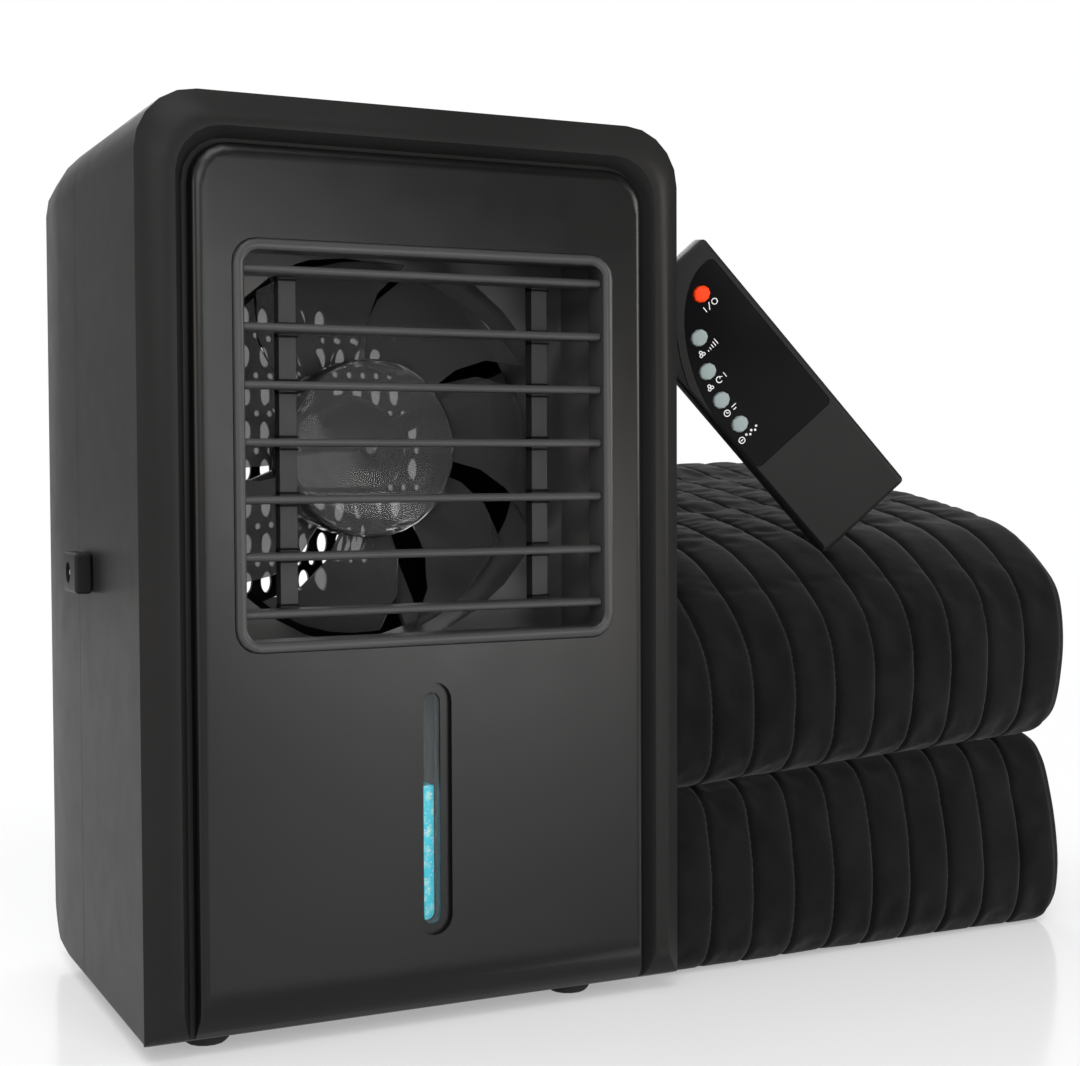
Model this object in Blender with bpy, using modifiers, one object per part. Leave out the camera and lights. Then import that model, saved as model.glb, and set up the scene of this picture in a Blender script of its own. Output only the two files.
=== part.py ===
"""A bed cooling system: a cooling unit with a louvre and fan, its handset, and its quilted pad, folded."""

import math

import bmesh
import bpy
from mathutils import Euler, Matrix, Vector
from mathutils.bvhtree import BVHTree

# Clearances and mesh finish
GAP = 0.0003
OVERRUN = 0.002
SHARP_ANGLE = math.radians(35)
CORNER_STEPS = 5
FOOT_CORNER_STEPS = 2
ROUND_STEPS = 32
SMALL_ROUND_STEPS = 12
TINY_ROUND_STEPS = 8
MEDIUM_ROUND_STEPS = 20
WINDOW_CORNER_STEPS = 4
MERGE = 0.00001

# Casing
CASE_WIDTH = 0.240
CASE_HEIGHT = 0.375
CASE_DEPTH = 0.194
CASE_WALL = 0.0025
CASE_TOP_RADIUS = 0.025
CASE_BOTTOM_RADIUS = 0.0025
SEAM_Y = 0.112
FOOT_HEIGHT = 0.006
REAR_KINK_DEPTH = 0.044
REAR_TAPER = 0.0025
REAR_EDGE = 0.003
REAR_ROLL_RADIUS = 0.030

# Bezel, groove and front panel
BEZEL_CHAMFER_WIDTH = 0.0085
BEZEL_CHAMFER_RISE = 0.00675
BEZEL_CHAMFER_RADIUS = 0.021
BEZEL_CREST_INSET = 0.0144
BEZEL_CREST_RISE = 0.0065
BEZEL_CREST_RADIUS = 0.0195
GROOVE_INSET = 0.0184
GROOVE_RADIUS = 0.0175
FLANGE_CLEARANCE = 0.001
FLANGE_RADIUS = 0.012
FLANGE_LOW = 0.0125
BEZEL_SEAT = 0.0012
PANEL_INSET = 0.0203
PANEL_RADIUS = 0.016
PANEL_RISE = 0.0072
PANEL_EDGE = 0.0045
PANEL_EDGE_STEPS = 4
PANEL_EDGE_RADIUS_LOSS = 0.0012
FRONT_ROLL_HEIGHT = 0.022
FRONT_ROLL_DEPTH = 0.011
ROLL_STEPS = 8
LEG_RUN_OUT = 0.040

# Louvre window
WINDOW_SIDE_INSET = 0.0364
WINDOW_TOP_INSET = 0.0577
WINDOW_HEIGHT = 0.1633
WINDOW_RADIUS = 0.010
WINDOW_LIP_RISE = 0.0020
WINDOW_LIP_EDGE = 0.0010
WINDOW_LIP_WIDTH = 0.0043
WINDOW_INNER_RADIUS = 0.006
WINDOW_WELL_RADIUS = 0.002
FRAME_FLANGE_SIDE = 0.0084
FRAME_FLANGE_RISE = 0.01035
FRAME_FLANGE_RADIUS = 0.004
FRAME_BACK_Y = 0.006

# Louvre blades and tie bars
BLADE_COUNT = 7
BLADE_TOP_ROOM = 0.0073
BLADE_LOW_ROOM = 0.0106
BLADE_THICKNESS = 0.0033
BLADE_REAR_THICKNESS = 0.0022
BLADE_FRONT_REACH = 0.0072
BLADE_REAR_REACH = 0.012
BLADE_PIVOT_Y = 0.001
BLADE_END_GAP = 0.0006
BLADE_NOSE_STEPS = 5
PIVOT_PIN_RADIUS = 0.0013
PIVOT_PIN_LENGTH = 0.0030
TIE_INSET = 0.0228
TIE_WIDTH = 0.0072
TIE_REACH = 0.010
TIE_FRONT = 0.0024
TIE_REAR = 0.0036
TIE_END_REACH = 0.0025
TIE_PIN_RADIUS = 0.0012
TIE_NOTCH_START = 0.0048
TIE_NOTCH_SIDE = 0.0009

# Duct, fan and motor
DUCT_WALL = 0.0025
DUCT_TAPER = 0.004
SHROUD_WALL = 0.0025
SHROUD_LEAD = 0.004
SHROUD_TRAIL = 0.010
FAN_FRONT_Y = 0.062
FAN_TIP_CLEARANCE = 0.004
FAN_HUB_RADIUS = 0.040
FAN_HUB_DEPTH = 0.026
FAN_HUB_WALL = 0.002
FAN_HUB_EDGE = 0.002
FAN_RADIUS = 0.084
FAN_BLADES = 7
FAN_BLADE_THICKNESS = 0.0016
FAN_BLADE_ARC = math.radians(45)
FAN_BLADE_SWEEP = math.radians(-16)
FAN_BLADE_FRONT = 0.002
FAN_BLADE_DEPTH = 0.020
FAN_BLADE_CAMBER = 0.003
FAN_BLADE_RADIAL_STEPS = 3
FAN_BLADE_CHORD_STEPS = 5
FAN_FIRST_BLADE = math.radians(14)
FAN_BOSS_RADIUS = 0.0065
FAN_BOSS_DEPTH = 0.010
SHAFT_RADIUS = 0.0025
SHAFT_LENGTH = 0.036
MOTOR_RADIUS = 0.021
MOTOR_CLEARANCE = 0.002
MOTOR_LENGTH = 0.044
MOTOR_EDGE = 0.002
BRACKET_RING_WIDTH = 0.004
BRACKET_THICKNESS = 0.005
BRACKET_ARM_WIDTH = 0.008
BRACKET_ARMS = 4
BRACKET_FIRST_ARM = math.radians(22)

# Rear grille
GRILLE_RADIUS = 0.0877
GRILLE_LAND = 0.0077
GRILLE_SEAT_DEPTH = 0.003
GRILLE_SEAT_RIM = 0.0043
GRILLE_HOLE_MARGIN = 0.0025
GRILLE_ROW_PITCH = 0.019
GRILLE_OVAL_PITCH = 0.010
GRILLE_OVAL_WIDTH = 0.0055
GRILLE_OVAL_HEIGHT = 0.011
GRILLE_OVAL_SHOULDER_SHARE = 0.27
GRILLE_SCREW_INSET = 0.0037
GRILLE_SCREWS = 4
HALF_SHARE = 0.5
SCREW_HEAD_RADIUS = 0.0030
SCREW_HEAD_HEIGHT = 0.0018
SCREW_SHANK_RADIUS = 0.0014
SCREW_SHANK_LENGTH = 0.0052
SCREW_SLOT_WIDTH = 0.0008
SCREW_SLOT_DEPTH = 0.0008

# Level window
GAUGE_RECESS_WIDTH = 0.016
GAUGE_RECESS_LOW = 0.033
GAUGE_WINDOW_SPACE = 0.0155
GAUGE_RECESS_DEPTH = 0.0025
GAUGE_SLOT_WIDTH = 0.0076
GAUGE_SLOT_INSET = 0.004
GAUGE_SLOT_TOP_INSET = 0.0045
GAUGE_LENS_SINK = 0.0005
GAUGE_LENS_FLANGE = 0.0015
GAUGE_HOUSING_MARGIN = 0.003
GAUGE_HOUSING_BACK = 0.0023
GAUGE_WATER_SHARE = 0.5876
GAUGE_STEPS = 5

# Water tank
TANK_SIDE_INSET = 0.020
TANK_FRONT_Y = 0.014
TANK_DUCT_CLEARANCE = 0.00235
TANK_WALL = 0.002
TANK_LID_THICKNESS = 0.002
TANK_LID_OVERHANG = 0.002
FILLER_INSET = 0.048
FILLER_TOP_ROOM = 0.008
FILLER_RADIUS = 0.023
FILLER_WALL = 0.0025
CAP_HEAD_RIM = 0.003
CAP_HEAD_THICKNESS = 0.004
CAP_PLUG_LENGTH = 0.014
CAP_PLUG_WALL = 0.002
CAP_GRIP_WIDTH = 0.005
CAP_GRIP_RISE = 0.006
CAP_GRIP_SIDE = 0.006
DRAIN_INSET = 0.048
DRAIN_Z = 0.050
DRAIN_RADIUS = 0.009
DRAIN_WALL = 0.0025
DRAIN_HEAD_RIM = 0.0025
DRAIN_HEAD_THICKNESS = 0.003
DRAIN_PLUG_LENGTH = 0.012
DRAIN_GRIP_RADIUS = 0.005
DRAIN_GRIP_RISE = 0.004

# Pump, couplings and hoses
COUPLING_Z = 0.094
SUPPLY_INSET = 0.055
RETURN_INSET = 0.022
COUPLING_RADIUS = 0.0085
COUPLING_HEAD_RIM = 0.0025
COUPLING_HEAD_THICKNESS = 0.003
COUPLING_NIPPLE_RADIUS = 0.0052
COUPLING_NIPPLE_LENGTH = 0.014
COUPLING_BARB_RISE = 0.0009
COUPLING_BORE = 0.0028
COUPLING_ELBOW_DEPTH = 0.016
COUPLING_ELBOW_DROP = 0.014
COUPLING_TAIL_RADIUS = 0.0048
COUPLING_NECK_RADIUS = 0.0040
HOSE_RADIUS = 0.0048
HOSE_BORE = 0.0030
HOSE_STEPS = 7
PUMP_RADIUS = 0.0125
PUMP_LENGTH = 0.044
PUMP_FRONT_CLEARANCE = 0.0057
PUMP_BACK_CLEARANCE = 0.0028
PUMP_Z = 0.0385
PUMP_OUTLET_RADIUS = 0.0048
PUMP_OUTLET_REACH = 0.018
PUMP_NECK_RADIUS = 0.007
RETURN_INLET_Z = 0.042
INLET_RADIUS = 0.0065
INLET_LENGTH = 0.003
HOSE_BEND = 0.012

# Power inlet
JACK_FRONT_Y = 0.083
JACK_BACK_Y = 0.108
JACK_LOW = 0.1735
JACK_HIGH = 0.191
JACK_PROUD = 0.0077
JACK_EDGE = 0.0015
JACK_HOLE_Y = 0.098
JACK_HOLE_RADIUS = 0.00465
JACK_HOLE_DEPTH = 0.0065
JACK_TAIL_WALL = 0.00105
JACK_TAIL_LENGTH = 0.013
JACK_PIN_RADIUS = 0.0011
JACK_PIN_LENGTH = 0.0055

# Top control strip, board and ioniser
STRIP_HALF_LENGTH = 0.062
STRIP_FRONT_Y = 0.036
STRIP_BACK_Y = 0.066
STRIP_PROUD = 0.0006
STRIP_FLANGE = 0.004
STRIP_FLANGE_THICKNESS = 0.002
STRIP_POST_RADIUS = 0.003
STRIP_POST_DROP = 0.010
STRIP_RADIUS = 0.006
KEY_COUNT = 3
KEY_STEPS = 16
KEY_PITCH = 0.034
KEY_RADIUS = 0.0075
KEY_RISE = 0.0018
KEY_EDGE = 0.0007
KEY_SKIRT_RIM = 0.0013
KEY_SKIRT_THICKNESS = 0.0012
KEY_STEM_RADIUS = 0.0022
KEY_TRAVEL = 0.0012
BOARD_THICKNESS = 0.0016
BOARD_MARGIN = 0.002
BOARD_PART_HEIGHT = 0.006
BOARD_PART_SIZE = 0.012
IONISER_CLEARANCE = 0.003
IONISER_Y = 0.036
IONISER_HALF_WIDTH = 0.012
IONISER_HALF_DEPTH = 0.009
IONISER_HEIGHT = 0.011
IONISER_NEEDLE_RADIUS = 0.0008
IONISER_NEEDLE_LENGTH = 0.004
IONISER_NEEDLE_PITCH = 0.012

# Feet
FOOT_RADIUS = 0.0095
FOOT_EDGE = 0.0015
FOOT_LEFT_INSET = 0.030
FOOT_RIGHT_INSET = 0.045
FOOT_FRONT_Y = 0.020
FOOT_BACK_INSET = 0.044
FOOT_STEPS = 14

# Handset
HANDSET_WIDTH = 0.0534
HANDSET_LENGTH = 0.157
HANDSET_FRONT_THICKNESS = 0.0075
HANDSET_BACK_THICKNESS = 0.0072
HANDSET_EDGE = 0.0018
HANDSET_CORNER = 0.0022
HANDSET_STEPS = 3
HANDSET_TRACE_STEPS = 40
HANDSET_WALL = 0.0018
HANDSET_CASE_GAP = 0.00405
HANDSET_Y = 0.0415
HANDSET_REST_GAP = 0.0006
HANDSET_DROP = 0.3
HANDSET_TURNS = (math.radians(8.45), math.radians(-42.07), math.radians(-20.8))
LENS_TOP_SHARE = 0.94
LENS_BOTTOM_SHARE = 0.354
LENS_LEFT_SHARE = 0.035
LENS_RIGHT_SHARE = 0.936
LENS_SWEEP_WIDTH_SHARE = 0.857
LENS_SWEEP_HEIGHT_SHARE = 0.67
LENS_SWEEP_POWER = 1.7
LENS_SWEEP_STEPS = 12
LENS_CORNER = 0.0025
LENS_CORNER_STEPS = 3
LENS_DEPTH = 0.0006
LENS_SINK = 0.0009
HANDSET_KEYS = 5
HANDSET_KEY_HALF_WIDTH = 0.0044
HANDSET_KEY_HALF_HEIGHT = 0.0039
HANDSET_KEY_RISE = 0.0013
HANDSET_KEY_SKIRT = 0.0010
HANDSET_KEY_SKIRT_THICKNESS = 0.0009
HANDSET_KEY_TRAVEL = 0.0009
HANDSET_KEY_DROP = 0.0098
HANDSET_KEY_PITCH = 0.0149
HANDSET_KEY_INSET = 0.0070
GRIP_DEPTH = 0.0008
GRIP_RIM = 0.0045
GRIP_TOP_DROP = 0.0018
GRIP_STEPS = 8
HANDSET_KEY_STEM_RADIUS = 0.0013
HANDSET_KEY_STEPS = 10
HANDSET_BOARD_MARGIN = 0.0022
HANDSET_BOARD_THICKNESS = 0.0012
HANDSET_BOARD_DEPTH = 0.0052
COVER_WIDTH = 0.034
COVER_LENGTH = 0.052
COVER_THICKNESS = 0.0016
COVER_LOW_SHARE = 0.08
COVER_GRIP_COUNT = 3
COVER_GRIP_PITCH = 0.003
COVER_GRIP_RISE = 0.0005
BATTERY_RADIUS = 0.0100
BATTERY_THICKNESS = 0.0032

# Quilted pad
PAD_CASE_CLEARANCE = 0.0016
PAD_CHANNELS = 10
PAD_CHANNEL = 0.0226
PAD_DEPTH = 0.300
PAD_FRONT_Y = 0.008
PAD_HEIGHT = 0.2345
PAD_PINCH_LEFT = 0.083
PAD_PINCH_RIGHT = 0.095
PAD_PUFF = 0.0030
PAD_LEFT_BULGE = 0.0010
PAD_RIGHT_BULGE = 0.0065
PAD_END_INSET = 0.010
PAD_RING = 16
PAD_STATION_SHARES = (0.0, 0.18, 0.5, 0.82)
PAD_UPPER_LEFT_SHARES = (
    (0.060, 0.000), (0.013, 0.060), (0.000, 0.220), (0.017, 0.376), (0.057, 0.482), (0.120, 0.581),
    (0.193, 0.660), (0.307, 0.733), (0.507, 0.806), (0.740, 0.898), (0.925, 0.975), (0.985, 0.930),
    (1.000, 0.650), (0.990, 0.150), (0.930, 0.000), (0.480, 0.000),
)
PAD_UPPER_RIGHT_SHARES = (
    (0.090, 0.000), (0.030, 0.070), (0.003, 0.270), (0.004, 0.445), (0.020, 0.556), (0.060, 0.645),
    (0.130, 0.745), (0.215, 0.800), (0.430, 0.880), (0.700, 0.945), (0.925, 0.995), (0.985, 0.940),
    (1.000, 0.650), (0.990, 0.150), (0.930, 0.000), (0.480, 0.000),
)
PAD_LOWER_LEFT_SHARES = (
    (0.050, 0.000), (0.014, 0.110), (0.003, 0.280), (0.001, 0.480), (0.010, 0.720), (0.030, 0.920),
    (0.070, 1.000), (0.300, 1.000), (0.620, 1.000), (0.930, 1.000), (0.985, 0.860), (1.000, 0.520),
    (0.985, 0.130), (0.935, 0.000), (0.620, 0.000), (0.300, 0.000),
)
PAD_LOWER_RIGHT_SHARES = (
    (0.055, 0.000), (0.022, 0.110), (0.011, 0.270), (0.014, 0.470), (0.030, 0.700), (0.056, 0.900),
    (0.095, 1.000), (0.300, 1.000), (0.620, 1.000), (0.930, 1.000), (0.985, 0.860), (1.000, 0.520),
    (0.985, 0.130), (0.935, 0.000), (0.620, 0.000), (0.300, 0.000),
)

# Places that several pieces share
CASE_HALF = CASE_WIDTH / 2
CASE_LOW = FOOT_HEIGHT
CASE_TOP = CASE_LOW + CASE_HEIGHT
REAR_WALL_Y = CASE_DEPTH - CASE_WALL
REAR_KINK_Y = CASE_DEPTH - REAR_KINK_DEPTH
WINDOW_HALF_WIDTH = CASE_HALF - WINDOW_SIDE_INSET
WINDOW_HIGH_Z = CASE_TOP - WINDOW_TOP_INSET
WINDOW_LOW_Z = WINDOW_HIGH_Z - WINDOW_HEIGHT
FAN_Z = (WINDOW_LOW_Z + WINDOW_HIGH_Z) / 2
FRAME_LIP_Y = -PANEL_RISE - WINDOW_LIP_RISE
FRAME_INNER_HALF = WINDOW_HALF_WIDTH - WINDOW_LIP_WIDTH
BLADE_TOP_Z = WINDOW_HIGH_Z - WINDOW_LIP_WIDTH - BLADE_TOP_ROOM
BLADE_LOW_Z = WINDOW_LOW_Z + WINDOW_LIP_WIDTH + BLADE_LOW_ROOM
BLADE_PITCH = (BLADE_TOP_Z - BLADE_LOW_Z) / (BLADE_COUNT - 1)
TIE_X = FRAME_INNER_HALF - TIE_INSET
DUCT_FRONT_Y = FRAME_BACK_Y + GAP
DUCT_BACK_Y = FAN_FRONT_Y - SHROUD_LEAD
DUCT_HALF_WIDTH = WINDOW_HALF_WIDTH + FRAME_FLANGE_SIDE
DUCT_HALF_HEIGHT = WINDOW_HEIGHT / 2 + FRAME_FLANGE_RISE
SHROUD_INNER_RADIUS = FAN_RADIUS + FAN_TIP_CLEARANCE
SHROUD_OUTER_RADIUS = SHROUD_INNER_RADIUS + SHROUD_WALL
SHROUD_BACK_Y = FAN_FRONT_Y + FAN_HUB_DEPTH + SHROUD_TRAIL
MOTOR_FRONT_Y = FAN_FRONT_Y + FAN_HUB_WALL + FAN_BOSS_DEPTH + MOTOR_CLEARANCE
GRILLE_SEAT_INNER = GRILLE_RADIUS - GRILLE_LAND
GRILLE_SEAT_OUTER = GRILLE_RADIUS + GRILLE_SEAT_RIM
TANK_HALF_WIDTH = CASE_HALF - TANK_SIDE_INSET
TANK_LOW_Z = CASE_LOW + CASE_WALL + GAP
AIR_LOW_Z = FAN_Z - max(DUCT_HALF_HEIGHT, SHROUD_OUTER_RADIUS)
TANK_TOP_Z = AIR_LOW_Z - TANK_DUCT_CLEARANCE - TANK_LID_THICKNESS - GAP
TANK_BACK_Y = REAR_WALL_Y - PUMP_BACK_CLEARANCE - 2 * PUMP_RADIUS - PUMP_FRONT_CLEARANCE
GAUGE_RECESS_LOW_Z = CASE_LOW + GAUGE_RECESS_LOW
GAUGE_RECESS_HIGH_Z = WINDOW_LOW_Z - GAUGE_WINDOW_SPACE
GAUGE_SLOT_LOW_Z = GAUGE_RECESS_LOW_Z + GAUGE_SLOT_INSET
GAUGE_SLOT_HIGH_Z = GAUGE_RECESS_HIGH_Z - GAUGE_SLOT_TOP_INSET
FILLER_X = TANK_HALF_WIDTH - FILLER_INSET
FILLER_Z = TANK_TOP_Z - FILLER_TOP_ROOM - FILLER_RADIUS
DRAIN_X = TANK_HALF_WIDTH - DRAIN_INSET
SUPPLY_X = SUPPLY_INSET - TANK_HALF_WIDTH
RETURN_X = RETURN_INSET - TANK_HALF_WIDTH
PUMP_Y = TANK_BACK_Y + PUMP_FRONT_CLEARANCE + PUMP_RADIUS
COUPLING_ELBOW_Y = CASE_DEPTH - COUPLING_ELBOW_DEPTH
JACK_TAIL_RADIUS = JACK_HOLE_RADIUS + JACK_TAIL_WALL
KEY_SKIRT_RADIUS = KEY_RADIUS + KEY_SKIRT_RIM
IONISER_X = STRIP_HALF_LENGTH + STRIP_FLANGE + IONISER_CLEARANCE + IONISER_HALF_WIDTH
PAD_LEFT = CASE_HALF + PAD_CASE_CLEARANCE
ALONG_X = (math.pi / 2, 0, math.pi / 2)
ALONG_Y = (math.pi / 2, 0, 0)
ALONG_Z = (0, 0, 0)
FACING_FRONT = (math.pi / 2, 0, 0)
FACING_BACK = (-math.pi / 2, 0, 0)
UPRIGHT = (0, 0, 0)

for old in list(bpy.data.objects):
    bpy.data.objects.remove(old, do_unlink=True)

PARTS = bpy.data.collections.new("bed_cooling_system")
CUTTERS = bpy.data.collections.new("cutters")
bpy.context.scene.collection.children.link(PARTS)
bpy.context.scene.collection.children.link(CUTTERS)


def finish(name, colour, roughness, metallic=0.0, transmission=0.0):
    """A Principled material."""
    made = bpy.data.materials.new(name)
    made.use_nodes = True
    shader = made.node_tree.nodes["Principled BSDF"]
    shader.inputs["Base Color"].default_value = (*colour, 1)
    shader.inputs["Roughness"].default_value = roughness
    shader.inputs["Metallic"].default_value = metallic
    shader.inputs["Transmission Weight"].default_value = transmission
    made.diffuse_color = (*colour, 1)
    return made


def new_piece(name, mesh, material, collection=PARTS, place=(0, 0, 0), turns=UPRIGHT, parent=None):
    """An object that shows the mesh, with its round faces shaded smooth."""
    piece = bpy.data.objects.new(name, mesh)
    collection.objects.link(piece)
    piece.location = place
    piece.rotation_euler = turns
    piece.parent = parent
    if material:
        mesh.materials.append(material)
    if mesh.polygons:
        mesh.shade_smooth()
        mesh.set_sharp_from_angle(angle=SHARP_ANGLE)
    return piece


def piece_of(name, shape, material, **where):
    """Turns a bmesh into a piece, faces out."""
    bmesh.ops.recalc_face_normals(shape, faces=shape.faces)
    mesh = bpy.data.meshes.new(name)
    shape.to_mesh(mesh)
    shape.free()
    return new_piece(name, mesh, material, **where)


def tool_of(name, shape, **where):
    """A hidden cutter or addition for a Boolean."""
    tool = piece_of(name, shape, None, collection=CUTTERS, **where)
    tool.hide_render = True
    tool.display_type = "WIRE"
    return tool


def change(piece, tool, operation):
    """Adds a Boolean to the piece."""
    step = piece.modifiers.new(f"{operation.lower()} {tool.name}", "BOOLEAN")
    step.operation = operation
    step.solver = "EXACT"
    step.object = tool
    return piece


def cut(piece, tool):
    return change(piece, tool, "DIFFERENCE")


def fuse(piece, tool):
    return change(piece, tool, "UNION")


def settled_mesh(piece, name):
    """The piece's mesh with its modifiers applied, for copies to share."""
    bpy.context.view_layer.update()
    seen = piece.evaluated_get(bpy.context.evaluated_depsgraph_get())
    mesh = bpy.data.meshes.new_from_object(seen)
    mesh.name = name
    return mesh


def remove_with_tools(piece):
    """Removes a pattern piece and the tools that shaped it."""
    tools = [step.object for step in piece.modifiers if step.type == "BOOLEAN"]
    bpy.data.objects.remove(piece, do_unlink=True)
    for tool in tools:
        bpy.data.objects.remove(tool, do_unlink=True)


def add_box(shape, low, high):
    """A box between two opposite corners."""
    low = Vector(low)
    high = Vector(high)
    place = Matrix.Translation((low + high) / 2) @ Matrix.Diagonal((*(high - low), 1))
    bmesh.ops.create_cube(shape, size=1, matrix=place)


def add_rod(shape, radius, start, end, steps=SMALL_ROUND_STEPS):
    """A closed cylinder from start to end."""
    start = Vector(start)
    end = Vector(end)
    along = end - start
    place = Matrix.Translation((start + end) / 2) @ along.to_track_quat("Z", "Y").to_matrix().to_4x4()
    bmesh.ops.create_cone(
        shape, cap_ends=True, segments=steps, radius1=radius, radius2=radius, depth=along.length, matrix=place
    )


def add_loft(shape, loops, ring=False):
    """Joins loops of equal length with faces; a ring is joined last to first, else both ends are capped."""
    rows = [[shape.verts.new(point) for point in loop] for loop in loops]
    count = len(rows[0])
    pairs = list(zip(rows, rows[1:]))
    if ring:
        pairs.append((rows[-1], rows[0]))
    for near, far in pairs:
        for k in range(count):
            after = (k + 1) % count
            shape.faces.new((near[k], near[after], far[after], far[k]))
    if not ring:
        shape.faces.new(rows[0])
        shape.faces.new(rows[-1])


def box(name, low, high, material=None, **where):
    shape = bmesh.new()
    add_box(shape, low, high)
    if material is None:
        return tool_of(name, shape, **where)
    return piece_of(name, shape, material, **where)


def rod(name, radius, start, end, material=None, steps=SMALL_ROUND_STEPS, **where):
    shape = bmesh.new()
    add_rod(shape, radius, start, end, steps)
    if material is None:
        return tool_of(name, shape, **where)
    return piece_of(name, shape, material, **where)


def loft(name, loops, material=None, ring=False, **where):
    shape = bmesh.new()
    add_loft(shape, loops, ring)
    if material is None:
        return tool_of(name, shape, **where)
    return piece_of(name, shape, material, **where)


def welded_mesh(name, curve):
    """A curve's mesh with its caps welded to its sides."""
    guide = bpy.data.objects.new(f"{name}_guide", curve)
    CUTTERS.objects.link(guide)
    mesh = settled_mesh(guide, name)
    bpy.data.objects.remove(guide, do_unlink=True)
    shape = bmesh.new()
    shape.from_mesh(mesh)
    bmesh.ops.remove_doubles(shape, verts=shape.verts, dist=MERGE)
    return shape


def slab(name, outlines, low, high, along, material=None, **where):
    """A flat outline, with any holes in it, drawn from low to high along an axis."""
    curve = bpy.data.curves.new(name, "CURVE")
    curve.dimensions = "2D"
    curve.fill_mode = "BOTH"
    curve.extrude = (high - low) / 2
    for points in outlines:
        edge = curve.splines.new("POLY")
        edge.points.add(len(points) - 1)
        edge.use_cyclic_u = True
        for spot, (across, up) in zip(edge.points, points):
            spot.co = (across, up, 0, 1)
    shape = welded_mesh(name, curve)
    turn = Euler(along).to_matrix().to_4x4()
    middle = turn @ Vector((0, 0, (low + high) / 2))
    if along == ALONG_Y:
        middle = -middle
    bmesh.ops.transform(shape, matrix=Matrix.Translation(middle) @ turn, verts=shape.verts)
    if material is None:
        return tool_of(name, shape, **where)
    return piece_of(name, shape, material, **where)


def turned(name, profile, material, place, turns, steps=ROUND_STEPS, parent=None):
    """A turned piece: the profile of (radius, height) runs from the top of its axis down its outer side."""
    mesh = bpy.data.meshes.new(name)
    points = [(radius, 0, height) for radius, height in profile]
    mesh.from_pydata(points, [(k, k + 1) for k in range(len(points) - 1)], [])
    piece = new_piece(name, mesh, material, place=place, turns=turns, parent=parent)
    screw = piece.modifiers.new("turn", "SCREW")
    screw.steps = steps
    screw.render_steps = steps
    screw.use_merge_vertices = True
    screw.merge_threshold = MERGE
    return piece


def round_edges(piece, width, segments=2):
    """Rounds the edges of a piece."""
    step = piece.modifiers.new("round edges", "BEVEL")
    step.width = width
    step.segments = segments
    step.limit_method = "ANGLE"
    step.angle_limit = SHARP_ANGLE
    return piece


def outline(half_width, low, high, low_radius, high_radius, centre=0, steps=CORNER_STEPS, low_steps=None):
    """A rectangle with rounded corners, as (across, up) points."""
    high_steps = steps
    low_steps = low_steps or steps
    corners = (
        (1, low + low_radius, low_radius, -90, low_steps),
        (1, high - high_radius, high_radius, 0, high_steps),
        (-1, high - high_radius, high_radius, 90, high_steps),
        (-1, low + low_radius, low_radius, 180, low_steps),
    )
    points = []
    for side, up, radius, start, steps in corners:
        across = centre + side * (half_width - radius)
        for k in range(steps + 1):
            angle = math.radians(start + 90 * k / steps)
            points.append((across + radius * math.cos(angle), up + radius * math.sin(angle)))
    return points


def pill(width, low, high, centre=0):
    """A slot outline with round ends."""
    return outline(width / 2, low, high, width / 2 - MERGE, width / 2 - MERGE, centre, GAUGE_STEPS)


def circle(radius, across, up, steps=ROUND_STEPS):
    """A round outline, as (across, up) points."""
    turns = [2 * math.pi * k / steps for k in range(steps)]
    return [(across + radius * math.cos(a), up + radius * math.sin(a)) for a in turns]


def squared(half_width, half_height, up, steps=ROUND_STEPS):
    """A rectangle whose points lie at even shares of a turn, to loft with a circle."""
    points = []
    for k in range(steps):
        angle = 2 * math.pi * k / steps
        reach = max(abs(math.cos(angle)), abs(math.sin(angle)))
        points.append((half_width * math.cos(angle) / reach, up + half_height * math.sin(angle) / reach))
    return points


def at_y(points, y):
    return [(across, y, up) for across, up in points]


def at_x(points, x):
    return [(x, along, up) for along, up in points]


def at_z(points, z):
    return [(across, along, z) for across, along in points]


def case_outline(inset, radius, low=CASE_LOW, low_radius=CASE_BOTTOM_RADIUS):
    """The casing's outline, drawn in from its sides and top."""
    return outline(CASE_HALF - inset, low, CASE_TOP - inset, low_radius, radius, low_steps=FOOT_CORNER_STEPS)


def front_roll(name):
    """The cutter that rolls the front's lower edge under."""
    front = -max(BEZEL_CHAMFER_RISE, PANEL_RISE)
    back = front + FRONT_ROLL_DEPTH
    high = CASE_LOW + FRONT_ROLL_HEIGHT
    points = [(front - OVERRUN, high)]
    for k in range(ROLL_STEPS + 1):
        angle = math.pi / 2 * k / ROLL_STEPS
        points.append((back - FRONT_ROLL_DEPTH * math.cos(angle), high - FRONT_ROLL_HEIGHT * math.sin(angle)))
    low = CASE_LOW - LEG_RUN_OUT - OVERRUN
    points.append((back, low))
    points.append((front - OVERRUN, low))
    reach = CASE_HALF + OVERRUN
    return slab(name, [points], -reach, reach, ALONG_X)


def rear_roll(name, back, low, radius, reach):
    """The cutter that rounds a rear lower edge."""
    points = []
    for k in range(ROLL_STEPS + 1):
        angle = math.pi / 2 * k / ROLL_STEPS
        points.append((back - radius + radius * math.sin(angle), low + radius - radius * math.cos(angle)))
    points.append((back + OVERRUN, low + radius))
    points.append((back + OVERRUN, low - OVERRUN))
    points.append((back - radius, low - OVERRUN))
    return slab(name, [points], -reach, reach, ALONG_X)


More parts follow.
